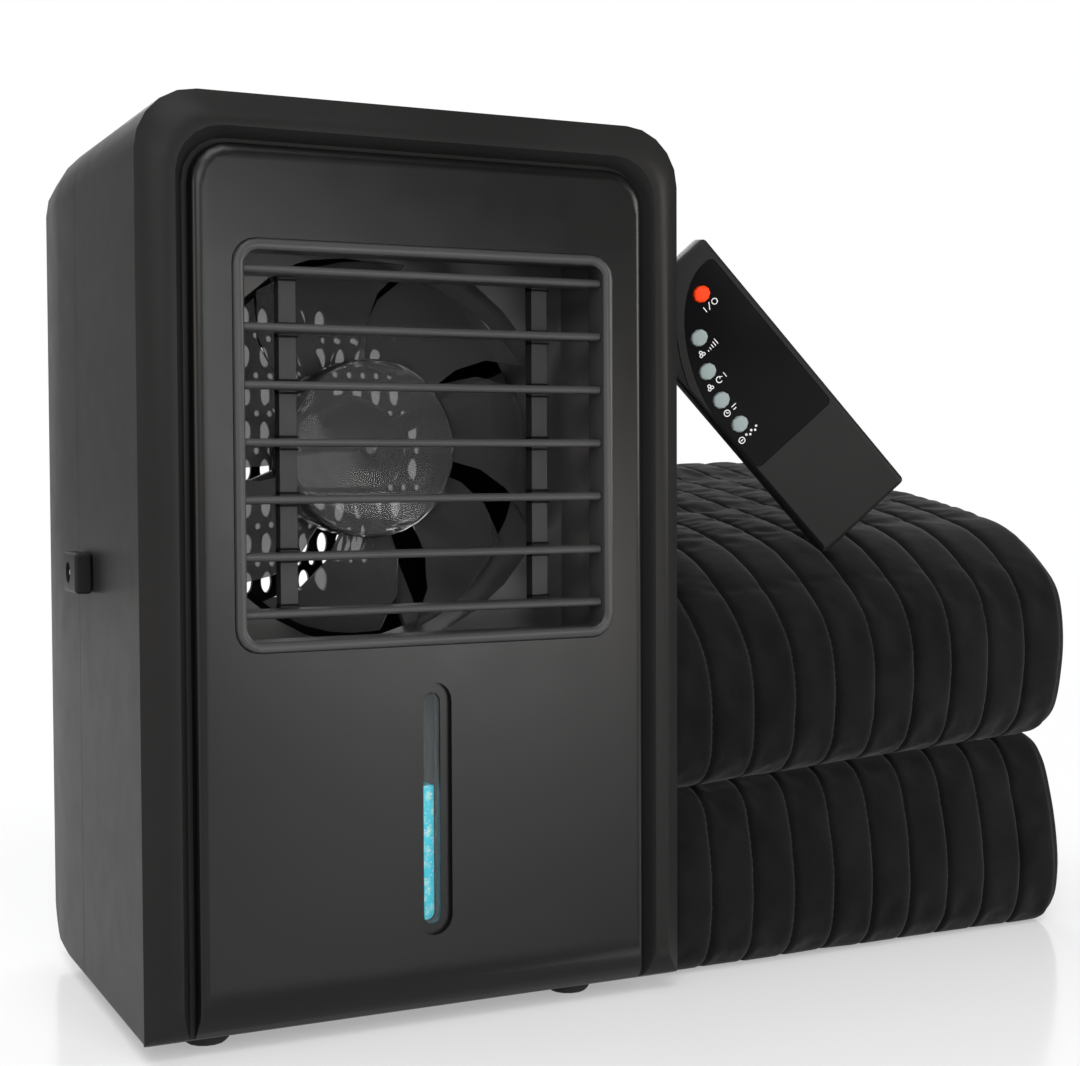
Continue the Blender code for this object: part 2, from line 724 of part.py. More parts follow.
SATIN = finish("satin_black", (0.035, 0.035, 0.036), 0.42)
PANEL_BLACK = finish("panel_black", (0.028, 0.028, 0.029), 0.36)
BLADE_GREY = finish("blade_grey", (0.07, 0.07, 0.072), 0.40)
SMOKE = finish("smoky_clear", (0.06, 0.06, 0.062), 0.15, transmission=0.6)
CLEAR = finish("clear_lens", (0.8, 0.9, 0.92), 0.05, transmission=0.9)
ICE = finish("ice_water", (0.0, 0.62, 0.82), 0.2)
TANK_WHITE = finish("tank_plastic", (0.55, 0.58, 0.60), 0.45)
STEEL = finish("steel", (0.6, 0.6, 0.6), 0.3, metallic=1.0)
MOTOR_GREY = finish("motor_grey", (0.25, 0.25, 0.26), 0.35, metallic=0.8)
BOARD_GREEN = finish("board_green", (0.02, 0.16, 0.07), 0.5)
RUBBER = finish("rubber", (0.02, 0.02, 0.02), 0.8)
GLOSS = finish("gloss_black", (0.008, 0.008, 0.009), 0.08)
KEY_RED = finish("key_red", (0.75, 0.10, 0.02), 0.4)
KEY_GREY = finish("key_grey", (0.42, 0.42, 0.43), 0.45)
HANDSET_GREY = finish("handset_charcoal", (0.05, 0.05, 0.049), 0.5)
QUILT = finish("quilted_fabric", (0.018, 0.018, 0.018), 0.9)


def make_front_shell():
    """The front half of the casing: a cup with an open front, and the bezel that stands round it."""
    hollow = CASE_TOP_RADIUS - CASE_WALL
    floor_z = CASE_LOW + CASE_WALL
    inset = CASE_HALF - DUCT_HALF_WIDTH - FLANGE_CLEARANCE
    loops = [
        at_y(case_outline(0, CASE_TOP_RADIUS), SEAM_Y),
        at_y(case_outline(0, CASE_TOP_RADIUS), BEZEL_SEAT),
        at_y(case_outline(BEZEL_SEAT, CASE_TOP_RADIUS - BEZEL_SEAT, CASE_LOW + BEZEL_SEAT), 0),
        at_y(case_outline(inset, FLANGE_RADIUS, FLANGE_LOW), 0),
        at_y(case_outline(inset, FLANGE_RADIUS, FLANGE_LOW), CASE_WALL),
        at_y(case_outline(CASE_WALL, hollow, floor_z), CASE_WALL),
        at_y(case_outline(CASE_WALL, hollow, floor_z), SEAM_Y),
    ]
    shell = loft("front_shell", loops, SATIN, ring=True)
    run_out = CASE_LOW - LEG_RUN_OUT
    loops = [
        at_y(case_outline(0, CASE_TOP_RADIUS, run_out), BEZEL_SEAT),
        at_y(case_outline(0, CASE_TOP_RADIUS, run_out), 0),
        at_y(case_outline(BEZEL_CHAMFER_WIDTH, BEZEL_CHAMFER_RADIUS, run_out), -BEZEL_CHAMFER_RISE),
        at_y(case_outline(BEZEL_CREST_INSET, BEZEL_CREST_RADIUS, run_out), -BEZEL_CREST_RISE),
        at_y(case_outline(GROOVE_INSET, GROOVE_RADIUS, run_out), 0),
        at_y(case_outline(GROOVE_INSET, GROOVE_RADIUS, run_out), BEZEL_SEAT),
    ]
    fuse(shell, loft("front_shell_bezel", loops, ring=True))
    cut(shell, front_roll("front_shell_roll"))
    wall = CASE_HALF - CASE_WALL
    jack_z = FOOT_HEIGHT + (JACK_LOW + JACK_HIGH) / 2
    hole = rod(
        "front_shell_jack_hole",
        JACK_TAIL_RADIUS + GAP,
        (-CASE_HALF - OVERRUN, JACK_HOLE_Y, jack_z),
        (-wall + OVERRUN, JACK_HOLE_Y, jack_z),
    )
    cut(shell, hole)
    half = STRIP_HALF_LENGTH + GAP
    opening = outline(half, STRIP_FRONT_Y - GAP, STRIP_BACK_Y + GAP, STRIP_RADIUS, STRIP_RADIUS)
    under = CASE_TOP - CASE_WALL - OVERRUN
    cut(shell, slab("front_shell_strip_hole", [opening], under, CASE_TOP + OVERRUN, ALONG_Z))
    return shell


def make_front_panel():
    """The front panel: a soft-edged plate with the window opening and the gauge recess."""
    run_out = CASE_LOW - LEG_RUN_OUT
    loops = [at_y(case_outline(PANEL_INSET, PANEL_RADIUS, run_out), -GAP)]
    edge_y = -PANEL_RISE + PANEL_EDGE
    for k in range(PANEL_EDGE_STEPS + 1):
        angle = math.pi / 2 * k / PANEL_EDGE_STEPS
        inset = PANEL_INSET + PANEL_EDGE * (1 - math.cos(angle))
        radius = PANEL_RADIUS - PANEL_EDGE_RADIUS_LOSS * k / PANEL_EDGE_STEPS
        loops.append(at_y(case_outline(inset, radius, run_out), edge_y - PANEL_EDGE * math.sin(angle)))
    panel = loft("front_panel", loops, PANEL_BLACK)
    cut(panel, front_roll("front_panel_roll"))
    window = outline(
        WINDOW_HALF_WIDTH + GAP, WINDOW_LOW_Z - GAP, WINDOW_HIGH_Z + GAP, WINDOW_RADIUS, WINDOW_RADIUS
    )
    face = -PANEL_RISE - OVERRUN
    cut(panel, slab("front_panel_window", [window], face, OVERRUN, ALONG_Y))
    recess = pill(GAUGE_RECESS_WIDTH, GAUGE_RECESS_LOW_Z, GAUGE_RECESS_HIGH_Z)
    floor_y = -PANEL_RISE + GAUGE_RECESS_DEPTH
    cut(panel, slab("front_panel_recess", [recess], face, floor_y, ALONG_Y))
    slot = pill(GAUGE_SLOT_WIDTH, GAUGE_SLOT_LOW_Z, GAUGE_SLOT_HIGH_Z)
    cut(panel, slab("front_panel_slot", [slot], floor_y - OVERRUN, OVERRUN, ALONG_Y))
    return panel


def make_louvre_frame():
    """The raised frame of the window, with its rear flange and the holes for the blade pivots."""
    out = WINDOW_HALF_WIDTH
    low = WINDOW_LOW_Z
    high = WINDOW_HIGH_Z
    steps = WINDOW_CORNER_STEPS
    lip = WINDOW_LIP_EDGE - WINDOW_LIP_WIDTH
    sections = (
        (FRAME_FLANGE_SIDE, FRAME_BACK_Y, FRAME_FLANGE_RADIUS, FRAME_FLANGE_RISE),
        (FRAME_FLANGE_SIDE, GAP, FRAME_FLANGE_RADIUS, FRAME_FLANGE_RISE),
        (0, GAP, WINDOW_RADIUS, 0),
        (0, FRAME_LIP_Y + WINDOW_LIP_EDGE, WINDOW_RADIUS, 0),
        (-WINDOW_LIP_EDGE, FRAME_LIP_Y, WINDOW_RADIUS - WINDOW_LIP_EDGE, -WINDOW_LIP_EDGE),
        (lip, FRAME_LIP_Y, WINDOW_INNER_RADIUS, lip),
        (-WINDOW_LIP_WIDTH, FRAME_LIP_Y + WINDOW_LIP_EDGE, WINDOW_INNER_RADIUS, -WINDOW_LIP_WIDTH),
        (-WINDOW_LIP_WIDTH, FRAME_LIP_Y + 2 * WINDOW_LIP_EDGE, WINDOW_WELL_RADIUS, -WINDOW_LIP_WIDTH),
        (-WINDOW_LIP_WIDTH, FRAME_BACK_Y, WINDOW_WELL_RADIUS, -WINDOW_LIP_WIDTH),
    )
    loops = [
        at_y(outline(out + side, low - rise, high + rise, radius, radius, steps=steps), y)
        for side, y, radius, rise in sections
    ]
    frame = loft("louvre_frame", loops, PANEL_BLACK, ring=True)
    holes = bmesh.new()
    reach = FRAME_INNER_HALF + PIVOT_PIN_LENGTH + GAP
    for k in range(BLADE_COUNT):
        centre = (0, BLADE_PIVOT_Y, blade_z(k))
        for side in (-1, 1):
            start = (side * (FRAME_INNER_HALF - OVERRUN), *centre[1:])
            add_rod(holes, PIVOT_PIN_RADIUS + GAP, start, (side * reach, *centre[1:]), TINY_ROUND_STEPS)
    cut(frame, tool_of("louvre_frame_pivots", holes))
    return frame


def blade_z(k):
    """The height of blade k, from the top."""
    return BLADE_TOP_Z - k * BLADE_PITCH


def blade_profile():
    """The blade's section, round in front and thin behind, as (back, up) points about its pivot."""
    half = BLADE_THICKNESS / 2
    points = []
    for k in range(BLADE_NOSE_STEPS):
        angle = math.pi / 2 + math.pi * k / (BLADE_NOSE_STEPS - 1)
        points.append((-BLADE_FRONT_REACH + half + half * math.cos(angle), half * math.sin(angle)))
    points.append((0, -half))
    points.append((BLADE_REAR_REACH, -BLADE_REAR_THICKNESS / 2))
    points.append((BLADE_REAR_REACH, BLADE_REAR_THICKNESS / 2))
    points.append((0, half))
    return points


def matched_circle(radius, profile):
    """A circle about the pivot, its points at the angles of a profile's points."""
    points = []
    for along, up in profile:
        angle = math.atan2(up, along)
        points.append((radius * math.cos(angle), radius * math.sin(angle)))
    return points


def make_louvres():
    """The blades, which share one mesh: a lofted blade with end pins and a clip pin in each rear notch."""
    profile = blade_profile()
    pin = matched_circle(PIVOT_PIN_RADIUS, profile)
    end = FRAME_INNER_HALF - BLADE_END_GAP
    tip = FRAME_INNER_HALF + PIVOT_PIN_LENGTH
    stations = ((-tip, pin), (-end, pin), (-end, profile), (end, profile), (end, pin), (tip, pin))
    pattern = loft("louvre_pattern", [at_x(points, x) for x, points in stations], BLADE_GREY)
    half = TIE_WIDTH / 2 + TIE_NOTCH_SIDE
    pin = circle(TIE_PIN_RADIUS, TIE_REACH, 0, TINY_ROUND_STEPS)
    reach = BLADE_REAR_REACH + OVERRUN
    tall = BLADE_THICKNESS
    edge = [(TIE_NOTCH_START, -tall), (reach, -tall), (reach, tall), (TIE_NOTCH_START, tall)]
    for side in (-1, 1):
        x = side * TIE_X
        cut(pattern, slab(f"louvre_notch_{side}", [edge, pin], x - half, x + half, ALONG_X))
    mesh = settled_mesh(pattern, "louvre_blade")
    remove_with_tools(pattern)
    for k in range(BLADE_COUNT):
        new_piece(f"louvre_{k + 1}", mesh, None, place=(0, BLADE_PIVOT_Y, blade_z(k)))


def make_tie_bars():
    """The two bars that clip over the blades' rear pins, so that all the blades tilt together."""
    low = -(BLADE_COUNT - 1) * BLADE_PITCH - TIE_END_REACH
    for name, side in (("tie_bar_left", -1), ("tie_bar_right", 1)):
        place = (side * TIE_X, BLADE_PIVOT_Y + TIE_REACH, blade_z(0))
        half = TIE_WIDTH / 2
        bar = box(name, (-half, -TIE_FRONT, low), (half, TIE_REAR, TIE_END_REACH), BLADE_GREY, place=place)
        slots = bmesh.new()
        for k in range(BLADE_COUNT):
            z = -k * BLADE_PITCH
            grip = TIE_PIN_RADIUS + GAP
            slot_low = (-half - OVERRUN, -TIE_FRONT - OVERRUN, z - grip)
            add_box(slots, slot_low, (half + OVERRUN, grip, z + grip))
        cut(bar, tool_of(f"{name}_slots", slots, place=place))


def make_shroud():
    """The squarish duct behind the window, narrowing to the fan's round shroud, as one moulding."""
    outer = squared(DUCT_HALF_WIDTH, DUCT_HALF_HEIGHT, FAN_Z)
    inner = squared(DUCT_HALF_WIDTH - DUCT_WALL, DUCT_HALF_HEIGHT - DUCT_WALL, FAN_Z)
    ring_outer = circle(SHROUD_OUTER_RADIUS, 0, FAN_Z)
    ring_inner = circle(SHROUD_INNER_RADIUS, 0, FAN_Z)
    step = DUCT_BACK_Y + DUCT_WALL
    loops = [
        at_y(outer, DUCT_FRONT_Y),
        at_y(outer, step - DUCT_TAPER),
        at_y(ring_outer, step),
        at_y(ring_outer, SHROUD_BACK_Y),
        at_y(ring_inner, SHROUD_BACK_Y),
        at_y(ring_inner, DUCT_BACK_Y),
        at_y(inner, DUCT_BACK_Y - DUCT_TAPER),
        at_y(inner, DUCT_FRONT_Y),
    ]
    return loft("fan_shroud", loops, SATIN, ring=True)


def fan_blade(first):
    """The loops of one fan blade, from inside the hub's rim to its tip."""
    loops = []
    root = FAN_HUB_RADIUS - FAN_HUB_WALL / 2
    for i in range(FAN_BLADE_RADIAL_STEPS + 1):
        share = i / FAN_BLADE_RADIAL_STEPS
        radius = root + (FAN_RADIUS - root) * share
        start = first - FAN_BLADE_ARC / 2 + FAN_BLADE_SWEEP * share * share
        front = []
        rear = []
        for k in range(FAN_BLADE_CHORD_STEPS + 1):
            chord = k / FAN_BLADE_CHORD_STEPS
            angle = start + FAN_BLADE_ARC * chord
            height = -FAN_BLADE_FRONT - FAN_BLADE_DEPTH * chord - FAN_BLADE_CAMBER * math.sin(math.pi * chord)
            across = radius * math.cos(angle)
            up = radius * math.sin(angle)
            front.append((across, up, height))
            rear.append((across, up, height - FAN_BLADE_THICKNESS))
        loops.append(front + rear[::-1])
    return loops


def make_fan():
    """The impeller: a turned hub, open behind, with swept blades; and its shaft."""
    floor = -FAN_HUB_WALL
    boss = floor - FAN_BOSS_DEPTH
    inner = FAN_HUB_RADIUS - FAN_HUB_WALL
    bore = SHAFT_RADIUS + GAP
    profile = [
        (0, 0),
        (FAN_HUB_RADIUS - FAN_HUB_EDGE, 0),
        (FAN_HUB_RADIUS, -FAN_HUB_EDGE),
        (FAN_HUB_RADIUS, -FAN_HUB_DEPTH),
        (inner, -FAN_HUB_DEPTH),
        (inner, floor),
        (FAN_BOSS_RADIUS, floor),
        (FAN_BOSS_RADIUS, boss),
        (bore, boss),
        (bore, floor - GAP),
        (0, floor - GAP),
    ]
    place = (0, FAN_FRONT_Y, FAN_Z)
    fan = turned("fan_impeller", profile, SMOKE, place, FACING_FRONT)
    blades = bmesh.new()
    for k in range(FAN_BLADES):
        add_loft(blades, fan_blade(FAN_FIRST_BLADE + 2 * math.pi * k / FAN_BLADES))
    fuse(fan, tool_of("fan_blades", blades, place=place, turns=FACING_FRONT))
    start = FAN_FRONT_Y + FAN_HUB_WALL + 2 * GAP
    shaft = [(0, 0), (SHAFT_RADIUS, 0), (SHAFT_RADIUS, -SHAFT_LENGTH), (0, -SHAFT_LENGTH)]
    turned("fan_shaft", shaft, STEEL, (0, start, FAN_Z), FACING_FRONT, SMALL_ROUND_STEPS)


def make_motor():
    """The motor, with a bore that the shaft runs in, and the bracket that holds it to the shroud."""
    shaft_end = FAN_FRONT_Y + FAN_HUB_WALL + 2 * GAP + SHAFT_LENGTH
    bore_end = -(shaft_end + GAP - MOTOR_FRONT_Y)
    bore = SHAFT_RADIUS + GAP
    profile = [
        (0, bore_end),
        (bore, bore_end),
        (bore, 0),
        (MOTOR_RADIUS - MOTOR_EDGE, 0),
        (MOTOR_RADIUS, -MOTOR_EDGE),
        (MOTOR_RADIUS, MOTOR_EDGE - MOTOR_LENGTH),
        (MOTOR_RADIUS - MOTOR_EDGE, -MOTOR_LENGTH),
        (0, -MOTOR_LENGTH),
    ]
    turned("fan_motor", profile, MOTOR_GREY, (0, MOTOR_FRONT_Y, FAN_Z), FACING_FRONT, MEDIUM_ROUND_STEPS)
    front = SHROUD_BACK_Y + GAP
    back = front + BRACKET_THICKNESS
    inner = MOTOR_RADIUS + GAP
    rings = [circle(reach, 0, FAN_Z, MEDIUM_ROUND_STEPS) for reach in (inner + BRACKET_RING_WIDTH, inner)]
    bracket = slab("motor_bracket", rings, front, back, ALONG_Y, SATIN)
    half = BRACKET_ARM_WIDTH / 2
    start = inner + BRACKET_RING_WIDTH / 2
    for k in range(BRACKET_ARMS):
        angle = BRACKET_FIRST_ARM + 2 * math.pi * k / BRACKET_ARMS
        arm = box(
            f"motor_bracket_arm_{k + 1}",
            (start, front + GAP, -half),
            (SHROUD_OUTER_RADIUS, back - GAP, half),
            place=(0, 0, FAN_Z),
            turns=(0, -angle, 0),
        )
        fuse(bracket, arm)


def grille_oval(x, z):
    """One upright oval hole, as a six-sided outline."""
    half = GRILLE_OVAL_WIDTH / 2
    tall = GRILLE_OVAL_HEIGHT / 2
    shoulder = GRILLE_OVAL_HEIGHT * GRILLE_OVAL_SHOULDER_SHARE
    top = [(half, shoulder), (0, tall), (-half, shoulder)]
    low = [(-across, -up) for across, up in top]
    return [(x + across, z + up) for across, up in top + low]


def screw_places():
    """Where the grille's screws stand, as (x, z)."""
    for k in range(GRILLE_SCREWS):
        angle = 2 * math.pi * (k + HALF_SHARE) / GRILLE_SCREWS
        reach = GRILLE_RADIUS - GRILLE_SCREW_INSET
        yield reach * math.cos(angle), FAN_Z + reach * math.sin(angle)


def make_grille():
    """The round rear grille with rows of upright ovals, and the screws that hold it."""
    outlines = [circle(GRILLE_RADIUS, 0, FAN_Z)]
    hole_reach = GRILLE_SEAT_INNER - GRILLE_HOLE_MARGIN
    rows = int(hole_reach / GRILLE_ROW_PITCH)
    for row in range(-rows - 1, rows + 1):
        z = (row + HALF_SHARE) * GRILLE_ROW_PITCH
        room = hole_reach**2 - (abs(z) + GRILLE_OVAL_HEIGHT / 2) ** 2
        if room < 0:
            continue
        most = int((math.sqrt(room) - GRILLE_OVAL_WIDTH / 2) / GRILLE_OVAL_PITCH)
        for column in range(-most, most + 1):
            outlines.append(grille_oval(column * GRILLE_OVAL_PITCH, FAN_Z + z))
    for x, z in screw_places():
        outlines.append(circle(SCREW_SHANK_RADIUS + GAP, x, z, TINY_ROUND_STEPS))
    slab("rear_grille", outlines, REAR_WALL_Y, CASE_DEPTH, ALONG_Y, SATIN)
    profile = [
        (0, SCREW_HEAD_HEIGHT),
        (SCREW_HEAD_RADIUS - SCREW_SLOT_WIDTH, SCREW_HEAD_HEIGHT),
        (SCREW_HEAD_RADIUS, SCREW_HEAD_HEIGHT / 2),
        (SCREW_HEAD_RADIUS, 0),
        (SCREW_SHANK_RADIUS, 0),
        (SCREW_SHANK_RADIUS, -SCREW_SHANK_LENGTH),
        (0, -SCREW_SHANK_LENGTH),
    ]
    for k, (x, z) in enumerate(screw_places()):
        place = (x, CASE_DEPTH + GAP, z)
        screw = turned(f"grille_screw_{k + 1}", profile, STEEL, place, FACING_BACK, SMALL_ROUND_STEPS)
        reach = SCREW_HEAD_RADIUS + OVERRUN
        half = SCREW_SLOT_WIDTH / 2
        low = SCREW_HEAD_HEIGHT - SCREW_SLOT_DEPTH
        slot = box(
            f"grille_screw_slot_{k + 1}",
            (-reach, -half, low),
            (reach, half, SCREW_HEAD_HEIGHT + OVERRUN),
            place=place,
            turns=FACING_BACK,
        )
        cut(screw, slot)


def make_rear_shell():
    """The rear half of the casing: a cup with the grille's seat and the holes of the rear fittings."""
    start = SEAM_Y + GAP
    radius = CASE_TOP_RADIUS

    def volume(name, inset, back, first, material):
        tapered = inset + REAR_TAPER
        rim = tapered + REAR_EDGE if material else tapered
        low = CASE_LOW + inset
        loops = [
            at_y(case_outline(inset, radius - inset, low), first),
            at_y(case_outline(inset, radius - inset, low), REAR_KINK_Y),
            at_y(case_outline(tapered, radius - inset, low), back - REAR_EDGE if material else back),
        ]
        if material:
            loops.append(at_y(case_outline(rim, radius - inset, low), back))
        made = loft(name, loops, material)
        roll = REAR_ROLL_RADIUS - inset
        cut(made, rear_roll(f"{name}_roll", back, low, roll, CASE_HALF + OVERRUN))
        return made

    shell = volume("rear_shell", 0, CASE_DEPTH, start, SATIN)
    cut(shell, volume("rear_shell_hollow", CASE_WALL, REAR_WALL_Y, start - OVERRUN, None))
    seat_front = REAR_WALL_Y - GRILLE_SEAT_DEPTH - GAP
    seat = circle(GRILLE_SEAT_OUTER, 0, FAN_Z)
    fuse(shell, slab("rear_shell_seat", [seat], seat_front, REAR_WALL_Y + GAP, ALONG_Y))
    wide = circle(GRILLE_RADIUS + GAP, 0, FAN_Z)
    narrow = circle(GRILLE_SEAT_INNER, 0, FAN_Z)
    back = CASE_DEPTH + OVERRUN
    cut(shell, slab("rear_shell_grille_hole", [wide], REAR_WALL_Y - GAP, back, ALONG_Y))
    cut(shell, slab("rear_shell_air_hole", [narrow], seat_front - OVERRUN, back, ALONG_Y))
    holes = bmesh.new()
    front = REAR_WALL_Y - OVERRUN
    fittings = [
        (FILLER_X, FILLER_Z, FILLER_RADIUS + GAP, ROUND_STEPS),
        (DRAIN_X, FOOT_HEIGHT + DRAIN_Z, DRAIN_RADIUS + GAP, SMALL_ROUND_STEPS),
        (SUPPLY_X, FOOT_HEIGHT + COUPLING_Z, COUPLING_RADIUS + GAP, SMALL_ROUND_STEPS),
        (RETURN_X, FOOT_HEIGHT + COUPLING_Z, COUPLING_RADIUS + GAP, SMALL_ROUND_STEPS),
    ]
    for x, z, reach, steps in fittings:
        add_rod(holes, reach, (x, front, z), (x, back, z), steps)
    cut(shell, tool_of("rear_shell_fittings", holes))
    bores = bmesh.new()
    for x, z in screw_places():
        add_rod(bores, SCREW_SHANK_RADIUS + GAP, (x, seat_front - OVERRUN, z), (x, back, z), TINY_ROUND_STEPS)
    cut(shell, tool_of("rear_shell_screw_bores", bores))
    return shell


def make_gauge():
    """The level window: a clear lens in the panel's slot, the dark housing behind it and its water."""
    low = GAUGE_SLOT_LOW_Z
    high = GAUGE_SLOT_HIGH_Z
    neck = pill(GAUGE_SLOT_WIDTH - 2 * GAP, low + GAP, high - GAP)
    wide = pill(GAUGE_RECESS_WIDTH, GAUGE_RECESS_LOW_Z, GAUGE_RECESS_HIGH_Z)
    face = -PANEL_RISE + GAUGE_RECESS_DEPTH + GAUGE_LENS_SINK
    flange_back = GAP + GAUGE_LENS_FLANGE
    loops = [at_y(neck, face), at_y(neck, GAP), at_y(wide, GAP), at_y(wide, flange_back)]
    loft("level_lens", loops, CLEAR)
    margin = GAUGE_HOUSING_MARGIN
    body_low = GAUGE_RECESS_LOW_Z - margin / 2
    body_high = GAUGE_RECESS_HIGH_Z + margin / 2
    body = pill(GAUGE_RECESS_WIDTH + margin, body_low, body_high)
    front = flange_back + GAP
    back = TANK_FRONT_Y - GAP
    housing = slab("gauge_housing", [body], front, back, ALONG_Y, SATIN)
    pocket = pill(GAUGE_SLOT_WIDTH + GAP, low - GAP, high + GAP)
    floor_y = back - GAUGE_HOUSING_BACK
    cut(housing, slab("gauge_pocket", [pocket], front - OVERRUN, floor_y, ALONG_Y))
    half = GAUGE_SLOT_WIDTH / 2 - GAP
    top = low + GAUGE_WATER_SHARE * (high - low)
    water = outline(half, low + GAP, top, half - MERGE, GAP, steps=GAUGE_STEPS)
    slab("level_water", [water], front, floor_y - GAP, ALONG_Y, ICE)


def make_tank():
    """The water tank with its filler and drain spouts, which reach the rear wall, and its lid."""
    low = (-TANK_HALF_WIDTH, TANK_FRONT_Y, TANK_LOW_Z)
    high = (TANK_HALF_WIDTH, TANK_BACK_Y, TANK_TOP_Z)
    tank = box("water_tank", low, high, TANK_WHITE)
    round_edges(tank, TANK_WALL)
    spouts = bmesh.new()
    bores = bmesh.new()
    fittings = (
        (FILLER_X, FILLER_Z, FILLER_RADIUS, FILLER_WALL, ROUND_STEPS),
        (DRAIN_X, FOOT_HEIGHT + DRAIN_Z, DRAIN_RADIUS, DRAIN_WALL, SMALL_ROUND_STEPS),
    )
    for x, up, radius, wall, steps in fittings:
        add_rod(spouts, radius, (x, TANK_BACK_Y - TANK_WALL / 2, up), (x, CASE_DEPTH, up), steps)
        add_rod(
            bores, radius - wall, (x, TANK_BACK_Y - 2 * TANK_WALL, up), (x, CASE_DEPTH + OVERRUN, up), steps
        )
    inlet_z = FOOT_HEIGHT + RETURN_INLET_Z
    inlet_start = (RETURN_X, TANK_BACK_Y - TANK_WALL / 2, inlet_z)
    add_rod(spouts, INLET_RADIUS, inlet_start, (RETURN_X, TANK_BACK_Y + INLET_LENGTH, inlet_z))
    fuse(tank, tool_of("water_tank_spouts", spouts))
    hollow_low = [value + TANK_WALL for value in low]
    hollow_high = (high[0] - TANK_WALL, high[1] - TANK_WALL, high[2] + OVERRUN)
    cut(tank, box("water_tank_hollow", hollow_low, hollow_high))
    add_rod(
        bores, HOSE_BORE, (RETURN_X, TANK_BACK_Y - 2 * TANK_WALL, inlet_z), (RETURN_X, CASE_DEPTH, inlet_z)
    )
    cut(tank, tool_of("water_tank_bores", bores))
    over = TANK_LID_OVERHANG
    lid_low = (low[0] - over, low[1], TANK_TOP_Z + GAP)
    lid_high = (high[0] + over, high[1] + over, TANK_TOP_Z + GAP + TANK_LID_THICKNESS)
    box("tank_lid", lid_low, lid_high, TANK_WHITE)


def make_rear_plugs():
    """The filler cap and the drain plug, which pull out of their spouts."""
    plug = FILLER_RADIUS - FILLER_WALL - GAP
    inner = plug - CAP_PLUG_WALL
    head = FILLER_RADIUS + CAP_HEAD_RIM
    profile = [
        (0, CAP_HEAD_THICKNESS),
        (head - CAP_PLUG_WALL, CAP_HEAD_THICKNESS),
        (head, CAP_HEAD_THICKNESS / 2),
        (head, 0),
        (plug, 0),
        (plug, -CAP_PLUG_LENGTH),
        (inner, -CAP_PLUG_LENGTH),
        (inner, 0),
        (0, 0),
    ]
    place = (FILLER_X, CASE_DEPTH + GAP, FILLER_Z)
    cap = turned("filler_cap", profile, SATIN, place, FACING_BACK, MEDIUM_ROUND_STEPS)
    reach = head - CAP_GRIP_SIDE
    half = CAP_GRIP_WIDTH / 2
    grip = box(
        "filler_cap_grip",
        (-reach, -half, CAP_HEAD_THICKNESS / 2),
        (reach, half, CAP_HEAD_THICKNESS + CAP_GRIP_RISE),
        place=place,
        turns=FACING_BACK,
    )
    fuse(cap, grip)
    stem = DRAIN_RADIUS - DRAIN_WALL - GAP
    head = DRAIN_RADIUS + DRAIN_HEAD_RIM
    profile = [
        (0, DRAIN_HEAD_THICKNESS + DRAIN_GRIP_RISE),
        (DRAIN_GRIP_RADIUS, DRAIN_HEAD_THICKNESS + DRAIN_GRIP_RISE),
        (DRAIN_GRIP_RADIUS, DRAIN_HEAD_THICKNESS),
        (head, DRAIN_HEAD_THICKNESS),
        (head, 0),
        (stem, 0),
        (stem, -DRAIN_PLUG_LENGTH),
        (0, -DRAIN_PLUG_LENGTH),
    ]
    place = (DRAIN_X, CASE_DEPTH + GAP, FOOT_HEIGHT + DRAIN_Z)
    turned("drain_plug", profile, RUBBER, place, FACING_BACK, SMALL_ROUND_STEPS)


def make_coupling(name, x):
    """A rear coupling: a barbed nipple outside, a body through the wall and a tail that points down."""
    z = FOOT_HEIGHT + COUPLING_Z
    head = CASE_DEPTH + GAP
    tip = COUPLING_HEAD_THICKNESS + COUPLING_NIPPLE_LENGTH
    barb = COUPLING_NIPPLE_RADIUS + COUPLING_BARB_RISE
    half_way = COUPLING_HEAD_THICKNESS + COUPLING_NIPPLE_LENGTH / 2
    rim = COUPLING_RADIUS + COUPLING_HEAD_RIM
    inner = COUPLING_ELBOW_Y - head
    bore_end = inner + COUPLING_BORE / 2
    profile = [
        (0, bore_end),
        (COUPLING_BORE, bore_end),
        (COUPLING_BORE, tip),
        (COUPLING_NIPPLE_RADIUS, tip),
        (barb, half_way),
        (COUPLING_NIPPLE_RADIUS, half_way),
        (COUPLING_NIPPLE_RADIUS, COUPLING_HEAD_THICKNESS),
        (rim, COUPLING_HEAD_THICKNESS),
        (rim, 0),
        (COUPLING_RADIUS, 0),
        (COUPLING_RADIUS, inner + COUPLING_TAIL_RADIUS / 2),
        (COUPLING_NECK_RADIUS, inner + COUPLING_TAIL_RADIUS / 2),
        (COUPLING_NECK_RADIUS, inner),
        (0, inner),
    ]
    coupling = turned(name, profile, SATIN, (x, head, z), FACING_BACK, SMALL_ROUND_STEPS)
    low = z - COUPLING_ELBOW_DROP
    tail = bmesh.new()
    high = z + COUPLING_TAIL_RADIUS
    add_rod(tail, COUPLING_TAIL_RADIUS, (x, COUPLING_ELBOW_Y, high), (x, COUPLING_ELBOW_Y, low))
    fuse(coupling, tool_of(f"{name}_tail", tail))
    bore = bmesh.new()
    start = (x, COUPLING_ELBOW_Y, z + COUPLING_BORE / 2)
    add_rod(bore, COUPLING_BORE, start, (x, COUPLING_ELBOW_Y, low - OVERRUN), TINY_ROUND_STEPS)
    cut(coupling, tool_of(f"{name}_tail_bore", bore))


